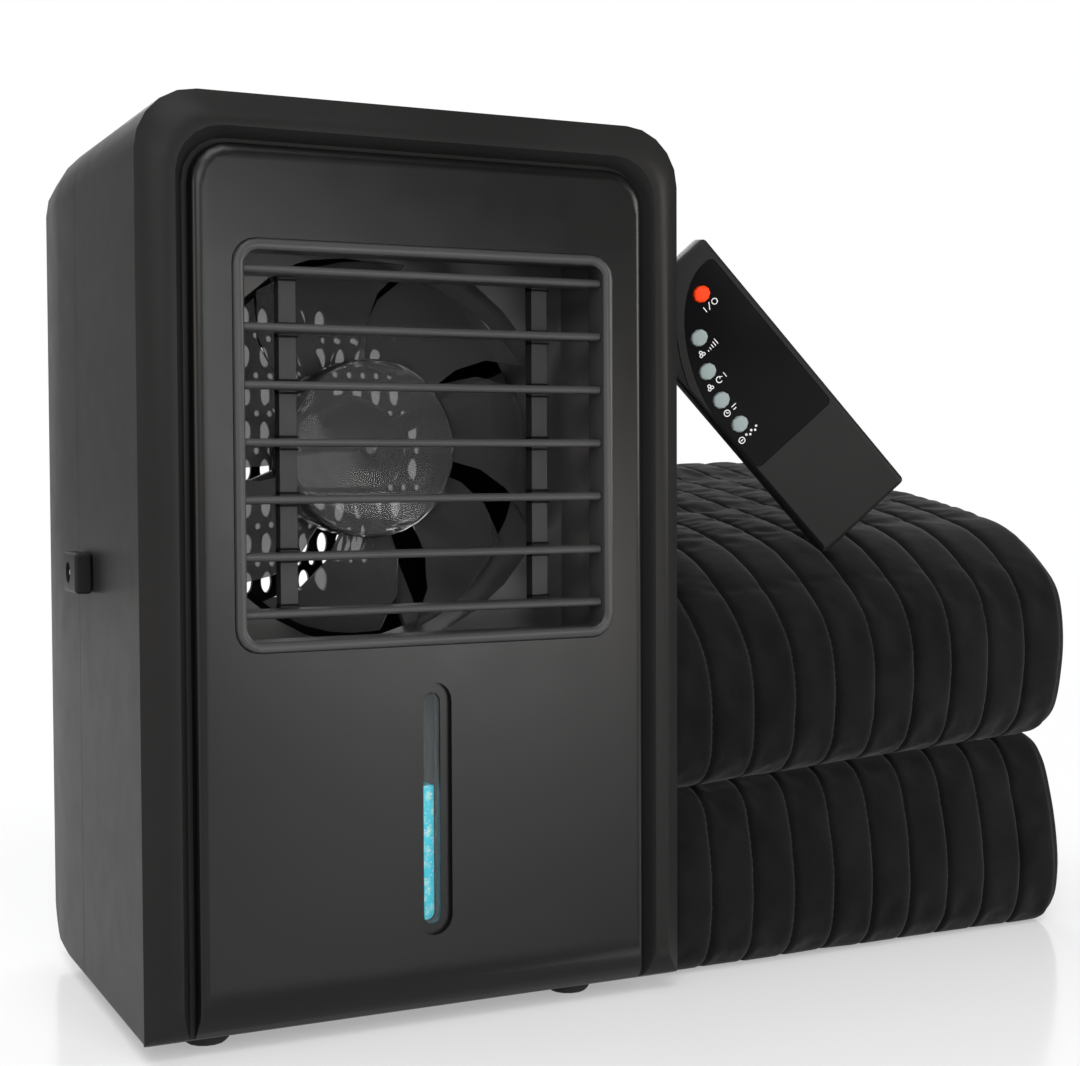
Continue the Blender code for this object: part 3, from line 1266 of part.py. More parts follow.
def hose(name, points, radius, material):
    """A tube along the points, as a mesh with its caps welded."""
    curve = bpy.data.curves.new(name, "CURVE")
    curve.dimensions = "3D"
    curve.bevel_depth = radius
    curve.bevel_resolution = 2
    curve.use_fill_caps = True
    line = curve.splines.new("POLY")
    line.points.add(len(points) - 1)
    for spot, point in zip(line.points, points):
        spot.co = (*point, 1)
    shape = welded_mesh(name, curve)
    if material is None:
        return tool_of(name, shape)
    return piece_of(name, shape, material)


def make_water_loop():
    """The pump on the tank's rear wall, the couplings and the two hoses."""
    make_coupling("coupling_supply", SUPPLY_X)
    make_coupling("coupling_return", RETURN_X)
    z = FOOT_HEIGHT + PUMP_Z
    half = PUMP_LENGTH / 2
    pump = rod(
        "water_pump",
        PUMP_RADIUS,
        (SUPPLY_X - half, PUMP_Y, z),
        (SUPPLY_X + half, PUMP_Y, z),
        MOTOR_GREY,
        MEDIUM_ROUND_STEPS,
    )
    necks = bmesh.new()
    outlet_top = z + PUMP_OUTLET_REACH
    outlet = (SUPPLY_X, COUPLING_ELBOW_Y, outlet_top)
    add_rod(necks, PUMP_OUTLET_RADIUS, (SUPPLY_X, COUPLING_ELBOW_Y, z), outlet)
    neck_x = SUPPLY_X + half / 2
    add_rod(necks, PUMP_NECK_RADIUS, (neck_x, PUMP_Y, z), (neck_x, TANK_BACK_Y + GAP, z))
    fuse(pump, tool_of("water_pump_necks", necks))
    tail = FOOT_HEIGHT + COUPLING_Z - COUPLING_ELBOW_DROP - GAP
    supply = [(SUPPLY_X, COUPLING_ELBOW_Y, outlet_top + GAP), (SUPPLY_X, COUPLING_ELBOW_Y, tail)]
    supply_hose = hose("hose_supply", supply, HOSE_RADIUS, RUBBER)
    cut(supply_hose, hose("hose_supply_bore", stretched(supply), HOSE_BORE, None))
    inlet_z = FOOT_HEIGHT + RETURN_INLET_Z
    inlet_y = TANK_BACK_Y + INLET_LENGTH + GAP
    route = [(RETURN_X, COUPLING_ELBOW_Y, tail)]
    centre_y = COUPLING_ELBOW_Y - HOSE_BEND
    centre_z = inlet_z + HOSE_BEND
    for k in range(HOSE_STEPS):
        angle = math.pi / 2 * k / (HOSE_STEPS - 1)
        route.append(
            (RETURN_X, centre_y + HOSE_BEND * math.cos(angle), centre_z - HOSE_BEND * math.sin(angle))
        )
    route.append((RETURN_X, inlet_y, inlet_z))
    return_hose = hose("hose_return", route, HOSE_RADIUS, RUBBER)
    cut(return_hose, hose("hose_return_bore", stretched(route), HOSE_BORE, None))


def stretched(points):
    """The points with both ends run out, for a bore that passes the ends it cuts."""
    first = Vector(points[0])
    last = Vector(points[-1])
    start = first + (first - Vector(points[1])).normalized() * OVERRUN
    end = last + (last - Vector(points[-2])).normalized() * OVERRUN
    return [start, *points[1:-1], end]


def make_power_inlet():
    """The power inlet on the left wall: a block with a round hole, a tail through the wall, and its pin."""
    face = -CASE_HALF - JACK_PROUD
    low = FOOT_HEIGHT + JACK_LOW
    high = FOOT_HEIGHT + JACK_HIGH
    z = (low + high) / 2
    block = box("power_inlet", (face, JACK_FRONT_Y, low), (-CASE_HALF - GAP, JACK_BACK_Y, high), SATIN)
    round_edges(block, JACK_EDGE)
    tail_end = (-CASE_HALF + JACK_TAIL_LENGTH, JACK_HOLE_Y, z)
    tail_start = (-CASE_HALF - JACK_PROUD / 2, JACK_HOLE_Y, z)
    fuse(block, rod("power_inlet_tail", JACK_TAIL_RADIUS, tail_start, tail_end))
    floor = face + JACK_HOLE_DEPTH
    hole = rod(
        "power_inlet_hole",
        JACK_HOLE_RADIUS,
        (face - OVERRUN, JACK_HOLE_Y, z),
        (floor, JACK_HOLE_Y, z),
        steps=MEDIUM_ROUND_STEPS,
    )
    cut(block, hole)
    pin = floor - GAP - JACK_PIN_LENGTH
    rod("power_inlet_pin", JACK_PIN_RADIUS, (floor - GAP, JACK_HOLE_Y, z), (pin, JACK_HOLE_Y, z), STEEL)


def key_x(k):
    """The place across of top key k."""
    return (k - (KEY_COUNT - 1) / 2) * KEY_PITCH


def make_controls():
    """The control strip in the casing's top, its keys, the board under it and the ioniser on the duct."""
    top = CASE_TOP + STRIP_PROUD
    under = CASE_TOP - CASE_WALL - GAP
    low = under - STRIP_FLANGE_THICKNESS
    y = (STRIP_FRONT_Y + STRIP_BACK_Y) / 2
    plate = outline(STRIP_HALF_LENGTH, STRIP_FRONT_Y, STRIP_BACK_Y, STRIP_RADIUS, STRIP_RADIUS)
    spread = STRIP_FLANGE
    wide = outline(
        STRIP_HALF_LENGTH + spread,
        STRIP_FRONT_Y - spread,
        STRIP_BACK_Y + spread,
        STRIP_RADIUS + spread,
        STRIP_RADIUS + spread,
    )
    loops = [at_z(plate, top), at_z(plate, under), at_z(wide, under), at_z(wide, low)]
    strip = loft("control_strip", loops, PANEL_BLACK)
    posts = bmesh.new()
    for side in (-1, 1):
        for along in (STRIP_FRONT_Y, STRIP_BACK_Y):
            x = side * STRIP_HALF_LENGTH
            foot = (x, along, low - STRIP_POST_DROP)
            add_rod(posts, STRIP_POST_RADIUS, (x, along, low + GAP), foot, TINY_ROUND_STEPS)
    fuse(strip, tool_of("control_strip_posts", posts))
    wells = bmesh.new()
    skirt_room = low + KEY_SKIRT_THICKNESS + KEY_TRAVEL
    for k in range(KEY_COUNT):
        x = key_x(k)
        add_rod(wells, KEY_RADIUS + GAP, (x, y, low - OVERRUN), (x, y, top + OVERRUN), KEY_STEPS)
    cut(strip, tool_of("control_strip_wells", wells))
    rims = bmesh.new()
    for k in range(KEY_COUNT):
        x = key_x(k)
        add_rod(rims, KEY_SKIRT_RADIUS + GAP, (x, y, low - OVERRUN), (x, y, skirt_room), KEY_STEPS)
    cut(strip, tool_of("control_strip_rims", rims))
    board_top = low - STRIP_POST_DROP - GAP
    skirt_top = skirt_room - GAP - top
    stem_end = board_top + GAP + KEY_TRAVEL - top
    profile = [
        (0, KEY_RISE),
        (KEY_RADIUS - KEY_EDGE, KEY_RISE),
        (KEY_RADIUS, KEY_RISE - KEY_EDGE),
        (KEY_RADIUS, skirt_top),
        (KEY_SKIRT_RADIUS, skirt_top),
        (KEY_SKIRT_RADIUS, skirt_top - KEY_SKIRT_THICKNESS),
        (KEY_STEM_RADIUS, skirt_top - KEY_SKIRT_THICKNESS),
        (KEY_STEM_RADIUS, stem_end),
        (0, stem_end),
    ]
    for k in range(KEY_COUNT):
        turned(f"top_key_{k + 1}", profile, KEY_GREY, (key_x(k), y, top), UPRIGHT, KEY_STEPS)
    reach = STRIP_HALF_LENGTH + STRIP_FLANGE - BOARD_MARGIN
    board = box(
        "control_board",
        (-reach, STRIP_FRONT_Y - STRIP_FLANGE, board_top - BOARD_THICKNESS),
        (reach, STRIP_BACK_Y + STRIP_FLANGE, board_top),
        BOARD_GREEN,
    )
    blocks = bmesh.new()
    half = BOARD_PART_SIZE / 2
    for k in range(KEY_COUNT - 1):
        x = (key_x(k) + key_x(k + 1)) / 2
        blocks_low = (x - half, y - half, board_top - BOARD_THICKNESS - BOARD_PART_HEIGHT)
        add_box(blocks, blocks_low, (x + half, y + half, board_top - BOARD_THICKNESS / 2))
    fuse(board, tool_of("control_board_parts", blocks))
    duct_top = FAN_Z + DUCT_HALF_HEIGHT
    ioniser = box(
        "ioniser",
        (IONISER_X - IONISER_HALF_WIDTH, IONISER_Y - IONISER_HALF_DEPTH, duct_top + GAP),
        (IONISER_X + IONISER_HALF_WIDTH, IONISER_Y + IONISER_HALF_DEPTH, duct_top + IONISER_HEIGHT),
        SATIN,
    )
    needles = bmesh.new()
    for side in (-1, 1):
        x = IONISER_X + side * IONISER_NEEDLE_PITCH / 2
        z = duct_top + IONISER_HEIGHT / 2
        front = IONISER_Y - IONISER_HALF_DEPTH
        start = (x, front + IONISER_NEEDLE_LENGTH, z)
        end = (x, front - IONISER_NEEDLE_LENGTH, z)
        add_rod(needles, IONISER_NEEDLE_RADIUS, start, end, TINY_ROUND_STEPS)
    fuse(ioniser, tool_of("ioniser_needles", needles))


def make_feet():
    """The four feet, standing on the floor under the casing."""
    top = FOOT_HEIGHT - GAP
    profile = [(0, top), (FOOT_RADIUS, top), (FOOT_RADIUS, FOOT_EDGE), (FOOT_RADIUS - FOOT_EDGE, 0), (0, 0)]
    left = FOOT_LEFT_INSET - CASE_HALF
    right = CASE_HALF - FOOT_RIGHT_INSET
    spots = (
        ("foot_front_left", left, FOOT_FRONT_Y),
        ("foot_front_right", right, FOOT_FRONT_Y),
        ("foot_back_left", left, CASE_DEPTH - FOOT_BACK_INSET),
        ("foot_back_right", right, CASE_DEPTH - FOOT_BACK_INSET),
    )
    for name, x, y in spots:
        turned(name, profile, RUBBER, (x, y, 0), UPRIGHT, FOOT_STEPS)


def handset_z(share):
    """A height on the handset, from 0 at its lower end to 1 at its top."""
    return (share - HALF_SHARE) * HANDSET_LENGTH


def handset_outline(inset, traces=0):
    """The handset's outline, with extra points along its long sides where asked."""
    half = HANDSET_LENGTH / 2 - inset
    reach = HANDSET_WIDTH / 2 - inset
    points = outline(reach, -half, half, HANDSET_CORNER, HANDSET_CORNER, steps=HANDSET_STEPS)
    for k in range(1, traces):
        points += [(side * reach, half * (2 * k / traces - 1)) for side in (-1, 1)]
        points.append((reach * (2 * k / traces - 1), -half))
    return points


def lens_edges():
    """The overlay's left, right, low and high edges, as seen from the front."""
    left = (LENS_LEFT_SHARE - HALF_SHARE) * HANDSET_WIDTH
    right = (LENS_RIGHT_SHARE - HALF_SHARE) * HANDSET_WIDTH
    return left, right, handset_z(LENS_BOTTOM_SHARE), handset_z(LENS_TOP_SHARE)


def lens_sweep_frame():
    """The middle that the overlay's left edge sweeps round, and how far from it the sweep reaches."""
    left, right, low, high = lens_edges()
    reach = (right - left) * LENS_SWEEP_WIDTH_SHARE
    rise = (high - low) * LENS_SWEEP_HEIGHT_SHARE
    return left + reach, high - rise, reach, rise


def lens_sweep(inset, steps):
    """Points down the overlay's swept left edge, set in by the inset, from top to upright."""
    middle_x, middle_z, reach, rise = lens_sweep_frame()
    points = []
    for k in range(steps + 1):
        angle = math.pi / 2 * (1 - k / steps)
        across = (reach - inset) * math.cos(angle) ** (2 / LENS_SWEEP_POWER)
        up = (rise - inset) * math.sin(angle) ** (2 / LENS_SWEEP_POWER)
        points.append((middle_x - across, middle_z + up))
    return points


def lens_outline(grow):
    """The overlay's outline, with two rounded corners on the right and one at the lower left."""
    left, right, low, high = lens_edges()
    corners = (
        (right - LENS_CORNER, low + LENS_CORNER, -1),
        (right - LENS_CORNER, high - LENS_CORNER, 0),
        (left + LENS_CORNER, low + LENS_CORNER, 2),
    )
    points = []
    for across, up, quarter in corners:
        if quarter > 0:
            points += lens_sweep(-grow, LENS_SWEEP_STEPS)
        for k in range(LENS_CORNER_STEPS + 1):
            angle = math.pi / 2 * (quarter + k / LENS_CORNER_STEPS)
            reach = LENS_CORNER + grow
            points.append((across + reach * math.cos(angle), up + reach * math.sin(angle)))
    return points


def grip_outline():
    """The outline of the sunk grip between the overlay's sweep and the handset's left edge."""
    top = handset_z(LENS_TOP_SHARE) - GRIP_TOP_DROP
    side = -HANDSET_WIDTH / 2
    sweep = [(x, z) for x, z in lens_sweep(-GRIP_RIM, GRIP_STEPS) if z < top and x > side]
    return [(side - OVERRUN, top), (sweep[0][0], top), *sweep, (side - OVERRUN, sweep[-1][1])]


def handset_key_place(k):
    """The centre of handset key k, as (across, up), on a line that follows the overlay's sweep."""
    middle_x, middle_z, reach, rise = lens_sweep_frame()
    up = middle_z + rise - HANDSET_KEY_DROP - HANDSET_KEY_PITCH * k
    share = max(up - middle_z, 0) / (rise - HANDSET_KEY_INSET)
    bend = (1 - share**LENS_SWEEP_POWER) ** (1 / LENS_SWEEP_POWER)
    return middle_x - (reach - HANDSET_KEY_INSET) * bend, up


def key_outline(grow, centre, steps=HANDSET_KEY_STEPS):
    """An upright oval round the key's centre."""
    points = []
    for k in range(steps):
        angle = 2 * math.pi * k / steps
        across = centre[0] + (HANDSET_KEY_HALF_WIDTH + grow) * math.cos(angle)
        points.append((across, centre[1] + (HANDSET_KEY_HALF_HEIGHT + grow) * math.sin(angle)))
    return points


def handset_place(pad, depth):
    """Where the handset's middle is when it stands by the case with its lowest corner over the pad."""
    turn = Euler(HANDSET_TURNS).to_matrix()
    corner = turn @ Vector((HANDSET_WIDTH / 2, 0, HANDSET_LENGTH / 2))
    points = []
    rims = ((HANDSET_EDGE, 0), (0, HANDSET_EDGE), (0, depth - HANDSET_EDGE), (HANDSET_EDGE, depth))
    for inset, along in rims:
        for across, up in handset_outline(inset, HANDSET_TRACE_STEPS):
            points.append(turn @ Vector((across, along, up)))
    left = min(point.x for point in points)
    room = PAD_HEIGHT + HANDSET_DROP
    middle = Vector((CASE_HALF + HANDSET_CASE_GAP - left, HANDSET_Y + corner.y, room + corner.z))
    shape = bmesh.new()
    shape.from_mesh(pad.data)
    surface = BVHTree.FromBMesh(shape)
    shape.free()
    for point in points:
        hit = surface.ray_cast(middle + point, Vector((0, 0, -1)))
        if hit[0]:
            room = min(room, hit[3])
    middle.z += HANDSET_REST_GAP - room
    return middle


def make_handset(pad):
    """The handset: two body halves, the gloss overlay, five keys, the board, the battery and its cover."""
    seam = HANDSET_FRONT_THICKNESS
    back = seam + GAP + HANDSET_BACK_THICKNESS
    handset = bpy.data.objects.new("handset", None)
    PARTS.objects.link(handset)
    handset.location = handset_place(pad, back)
    handset.rotation_euler = HANDSET_TURNS
    front_loops = [
        at_y(handset_outline(HANDSET_EDGE), 0),
        at_y(handset_outline(0), HANDSET_EDGE),
        at_y(handset_outline(0), seam),
    ]
    front = loft("handset_front", front_loops, HANDSET_GREY, parent=handset)
    wall = HANDSET_WALL
    hollow = handset_outline(wall)
    floor_y = wall + LENS_SINK
    cut(front, slab("handset_front_hollow", [hollow], floor_y, seam + OVERRUN, ALONG_Y, parent=handset))
    recess = lens_outline(GAP)
    cut(front, slab("handset_lens_recess", [recess], -OVERRUN, LENS_SINK, ALONG_Y, parent=handset))
    cut(front, slab("handset_grip_recess", [grip_outline()], -OVERRUN, GRIP_DEPTH, ALONG_Y, parent=handset))
    holes = [key_outline(GAP, handset_key_place(k)) for k in range(HANDSET_KEYS)]
    wells = slab("handset_key_wells", holes, -OVERRUN, floor_y + OVERRUN, ALONG_Y, parent=handset)
    cut(front, wells)
    lens_front = LENS_SINK - GAP - LENS_DEPTH
    lens_back = LENS_SINK - GAP
    slab("handset_overlay", [lens_outline(0), *holes], lens_front, lens_back, ALONG_Y, GLOSS, parent=handset)
    skirt_front = floor_y + GAP
    skirt_back = skirt_front + HANDSET_KEY_SKIRT_THICKNESS
    stem_end = HANDSET_BOARD_DEPTH - GAP - HANDSET_KEY_TRAVEL
    for k in range(HANDSET_KEYS):
        across, up = handset_key_place(k)
        loops = [
            at_y(key_outline(-HANDSET_KEY_RISE / 2, (0, 0)), lens_front - HANDSET_KEY_RISE),
            at_y(key_outline(0, (0, 0)), lens_front - HANDSET_KEY_RISE / 2),
            at_y(key_outline(0, (0, 0)), skirt_front),
            at_y(key_outline(HANDSET_KEY_SKIRT, (0, 0)), skirt_front),
            at_y(key_outline(HANDSET_KEY_SKIRT, (0, 0)), skirt_back),
            at_y(circle(HANDSET_KEY_STEM_RADIUS, 0, 0, HANDSET_KEY_STEPS), skirt_back),
            at_y(circle(HANDSET_KEY_STEM_RADIUS, 0, 0, HANDSET_KEY_STEPS), stem_end),
        ]
        material = KEY_GREY if k else KEY_RED
        loft(f"handset_key_{k + 1}", loops, material, place=(across, 0, up), parent=handset)
    board = handset_outline(HANDSET_BOARD_MARGIN)
    board_back = HANDSET_BOARD_DEPTH + HANDSET_BOARD_THICKNESS
    slab("handset_board", [board], HANDSET_BOARD_DEPTH, board_back, ALONG_Y, BOARD_GREEN, parent=handset)
    make_handset_back(handset, seam + GAP, back)


def make_handset_back(handset, seam, back):
    """The handset's rear half with its battery bay, cover and cell."""
    loops = [
        at_y(handset_outline(0), seam),
        at_y(handset_outline(0), back - HANDSET_EDGE),
        at_y(handset_outline(HANDSET_EDGE), back),
    ]
    shell = loft("handset_back", loops, HANDSET_GREY, parent=handset)
    wall = HANDSET_WALL
    hollow = handset_outline(wall)
    floor_y = back - wall - COVER_THICKNESS
    cut(shell, slab("handset_back_hollow", [hollow], seam - OVERRUN, floor_y, ALONG_Y, parent=handset))
    half = COVER_WIDTH / 2
    low = handset_z(COVER_LOW_SHARE)
    high = low + COVER_LENGTH
    bay_low = (-half - GAP, back - COVER_THICKNESS - GAP, handset_z(0) - OVERRUN)
    bay = box("handset_bay", bay_low, (half + GAP, back + OVERRUN, high + GAP), parent=handset)
    cut(shell, bay)
    cell_z = (low + high) / 2
    well_radius = BATTERY_RADIUS + GAP
    well = rod(
        "handset_cell_well",
        well_radius,
        (0, seam - OVERRUN, cell_z),
        (0, back + OVERRUN, cell_z),
        parent=handset,
    )
    cut(shell, well)
    cover_low = (-half, back - COVER_THICKNESS, handset_z(0) + HANDSET_EDGE)
    cover = box("battery_cover", cover_low, (half, back, high), HANDSET_GREY, parent=handset)
    ridges = bmesh.new()
    for k in range(COVER_GRIP_COUNT):
        z = low + k * COVER_GRIP_PITCH
        ridge_low = (-half / 2, back - COVER_THICKNESS / 2, z)
        add_box(ridges, ridge_low, (half / 2, back + COVER_GRIP_RISE, z + COVER_GRIP_PITCH / 2))
    fuse(cover, tool_of("battery_cover_ridges", ridges, parent=handset))
    cell_back = back - COVER_THICKNESS - 2 * GAP
    rod(
        "battery_cell",
        BATTERY_RADIUS,
        (0, cell_back, cell_z),
        (0, cell_back - BATTERY_THICKNESS, cell_z),
        STEEL,
        SMALL_ROUND_STEPS,
        parent=handset,
    )


def smooth_loop(points, count):
    """Points at even steps along a smooth closed curve through the given ones."""
    total = len(points)
    found = []
    for k in range(count):
        spot = total * k / count
        i = int(spot)
        share = spot - i
        before, start, end, after = (Vector(points[(i + step) % total]) for step in (-1, 0, 1, 2))
        bend = (
            2 * start
            + (end - before) * share
            + (2 * before - 5 * start + 4 * end - after) * share**2
            + (3 * start - before - 3 * end + after) * share**3
        )
        found.append(bend / 2)
    return found


def roll_section(left, right, share, low, high):
    """A roll's section at a share of the pad's width, as (back, up) points."""
    points = []
    for (left_back, left_up), (right_back, right_up) in zip(left, right):
        back = left_back + (right_back - left_back) * share
        up = left_up + (right_up - left_up) * share
        points.append((PAD_FRONT_Y + PAD_DEPTH * back, low + (high - low) * up))
    return smooth_loop(points, PAD_RING)


def grown(points, amount):
    """A closed section moved out along its own normals by the amount."""
    centre = sum(points, Vector((0, 0))) / len(points)
    found = []
    for k, point in enumerate(points):
        along = points[(k + 1) % len(points)] - points[k - 1]
        normal = Vector((along.y, -along.x)).normalized()
        if normal.dot(point - centre) < 0:
            normal = -normal
        found.append(point + normal * amount)
    return found


def make_roll(name, left, right, limits):
    """One roll of the folded pad: its section swept across, puffed out between the channel seams."""
    width = PAD_CHANNELS * PAD_CHANNEL
    stations = [(-PAD_LEFT_BULGE, -PAD_END_INSET), (-PAD_LEFT_BULGE / 2, -PAD_PUFF)]
    for channel in range(PAD_CHANNELS):
        for share in PAD_STATION_SHARES:
            puff = PAD_PUFF * math.sqrt(math.sin(math.pi * share)) if share else 0
            stations.append(((channel + share) * PAD_CHANNEL, puff))
    stations.append((width, 0))
    stations.append((width + PAD_RIGHT_BULGE / 2, -PAD_PUFF))
    stations.append((width + PAD_RIGHT_BULGE, -PAD_END_INSET))
    loops = []
    for across, puff in stations:
        share = min(max(across / width, 0), 1)
        pinch = PAD_PINCH_LEFT + (PAD_PINCH_RIGHT - PAD_PINCH_LEFT) * share
        low, high = limits(pinch)
        section = grown(roll_section(left, right, share, low, high), puff)
        loops.append([(PAD_LEFT + across, back, min(max(up, low), high)) for back, up in section])
    return loft(name, loops, QUILT)


def make_pad():
    """The quilted pad, folded into two rolls that lie one on the other; the upper one comes back."""
    make_roll("pad_lower_roll", PAD_LOWER_LEFT_SHARES, PAD_LOWER_RIGHT_SHARES, lambda pinch: (0, pinch))
    return make_roll(
        "pad_upper_roll",
        PAD_UPPER_LEFT_SHARES,
        PAD_UPPER_RIGHT_SHARES,
        lambda pinch: (pinch + GAP, PAD_HEIGHT),
    )


def stand_on_origin():
    """Moves everything so that the origin is the middle of the whole set's base."""
    bpy.context.view_layer.update()
    graph = bpy.context.evaluated_depsgraph_get()
    corners = []
    for piece in PARTS.objects:
        if piece.type == "MESH":
            seen = piece.evaluated_get(graph)
            mesh = seen.to_mesh()
            corners.extend(piece.matrix_world @ vertex.co for vertex in mesh.vertices)
            seen.to_mesh_clear()
    low = Vector(min(corner[axis] for corner in corners) for axis in range(3))
    high = Vector(max(corner[axis] for corner in corners) for axis in range(3))
    base = bpy.data.objects.new("base", None)
    PARTS.objects.link(base)
    base.location = (-(low.x + high.x) / 2, -(low.y + high.y) / 2, -low.z)
    for piece in bpy.data.objects:
        if piece.parent is None and piece is not base:
            piece.parent = base


make_front_shell()
make_rear_shell()
make_front_panel()
make_louvre_frame()
make_louvres()
make_tie_bars()
make_shroud()
make_fan()
make_motor()
make_grille()
make_gauge()
make_tank()
make_rear_plugs()
make_water_loop()
make_power_inlet()
make_controls()
make_feet()
make_handset(make_pad())
stand_on_origin()
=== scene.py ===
# %% [markdown]
# # A bed cooling system
# The set is a small cooling unit, its handset and its quilted pad, folded into two rolls.
# The solid parts come ready made at their real size, in metres, so this file only has to dress
# them: it gives every part its finish, and models what is soft or fine, such as the quilt,
# its stitches, the open grille and the prints on the handset.

# %% Load the solid parts
import math

import bmesh
import bpy
from mathutils import Euler, Matrix, Vector, noise
from mathutils.bvhtree import BVHTree
from mathutils.geometry import delaunay_2d_cdt


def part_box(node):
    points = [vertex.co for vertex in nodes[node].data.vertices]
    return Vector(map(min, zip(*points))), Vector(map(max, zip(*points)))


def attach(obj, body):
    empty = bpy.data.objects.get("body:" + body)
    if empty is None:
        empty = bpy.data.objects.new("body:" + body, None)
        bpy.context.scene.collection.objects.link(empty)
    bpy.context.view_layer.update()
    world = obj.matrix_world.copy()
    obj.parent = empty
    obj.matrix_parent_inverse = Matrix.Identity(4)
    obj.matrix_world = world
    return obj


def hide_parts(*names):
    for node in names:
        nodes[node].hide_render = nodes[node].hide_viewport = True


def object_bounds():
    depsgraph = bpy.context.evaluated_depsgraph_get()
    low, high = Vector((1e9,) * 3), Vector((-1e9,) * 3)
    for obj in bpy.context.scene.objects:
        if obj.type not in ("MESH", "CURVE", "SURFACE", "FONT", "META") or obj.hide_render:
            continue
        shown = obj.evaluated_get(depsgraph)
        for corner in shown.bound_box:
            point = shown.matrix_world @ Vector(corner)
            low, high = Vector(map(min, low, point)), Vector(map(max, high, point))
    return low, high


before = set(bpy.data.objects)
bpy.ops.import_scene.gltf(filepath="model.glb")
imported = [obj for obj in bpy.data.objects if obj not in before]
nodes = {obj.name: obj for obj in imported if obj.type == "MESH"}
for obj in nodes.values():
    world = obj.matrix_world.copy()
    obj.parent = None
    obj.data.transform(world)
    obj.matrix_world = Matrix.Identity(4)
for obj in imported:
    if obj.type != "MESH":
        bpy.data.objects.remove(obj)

SLIVER = 0.00001  # two points closer than this, in metres, count as one
cad_low, cad_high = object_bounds()
scene = bpy.context.scene
print(len(nodes), "solid parts, set is", [round(v, 3) for v in cad_high - cad_low], "m")

# %% [markdown]
# ## Where the parts stand
# The solid parts were drawn with the unit's front face at y = 0 and its middle at x = 0, and then
# the whole set was centred on the origin. The middle of the level window's lens and the back of the
# front panel give that move back, so that a place can be written as it was drawn.

# %% The move from the unit's own drawing to the set
lens_low, lens_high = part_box("level_lens")
panel_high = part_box("front_panel")[1]
PANEL_BACK_Y = -0.0003
UNIT = Vector(((lens_low.x + lens_high.x) / 2, panel_high.y - PANEL_BACK_Y, 0))


def spot(x, y, z):
    """A place in the unit's own drawing, as a place in the set."""
    return UNIT + Vector((x, y, z))


print("unit's own origin lies at", [round(v, 4) for v in UNIT])

# %% [markdown]
# ## The camera
# A camera is placed first, because every finish is judged through it. This one stands a little above
# the height of the unit's middle, to the left of the set, and looks slightly down, as a product
# photographer would to show the front and the left wall at once. It has a long lens, which
# keeps upright edges nearly upright. The turn is built from its heading, tilt and roll.

# %% Camera
CAMERA_PLACE = (-0.28455, -0.70088, 0.23443)
HEADING, TILT, ROLL = math.radians(25.683), math.radians(-2.174), math.radians(-0.217)
LENS, SENSOR = 60.62, 36
NEAREST = 0.01
camera_data = bpy.data.cameras.new("camera")
camera_data.lens = LENS
camera_data.sensor_width = SENSOR
camera_data.clip_start = NEAREST
camera = bpy.data.objects.new("camera", camera_data)
scene.collection.objects.link(camera)
heading, roll = Matrix.Rotation(-HEADING, 4, "Z"), Matrix.Rotation(ROLL, 4, "Z")
turn = heading @ Matrix.Rotation(math.pi / 2 + TILT, 4, "X") @ roll
camera.matrix_world = Matrix.Translation(spot(*CAMERA_PLACE)) @ turn
scene.camera = camera
scene.view_settings.view_transform = "Standard"
print("camera at", [round(v, 3) for v in camera.location], "lens", LENS, "mm")

# %% [markdown]
# ## A kit for finishes
# Every finish here is procedural: a shader whose colour, roughness and bump are worked out from
# the surface's own coordinates. That keeps it sharp at any distance and needs no pictures. The small
# helpers below add one node at a time to a Principled shader, so that each finish
# further down reads as a short recipe.

# %% Helpers for finishes


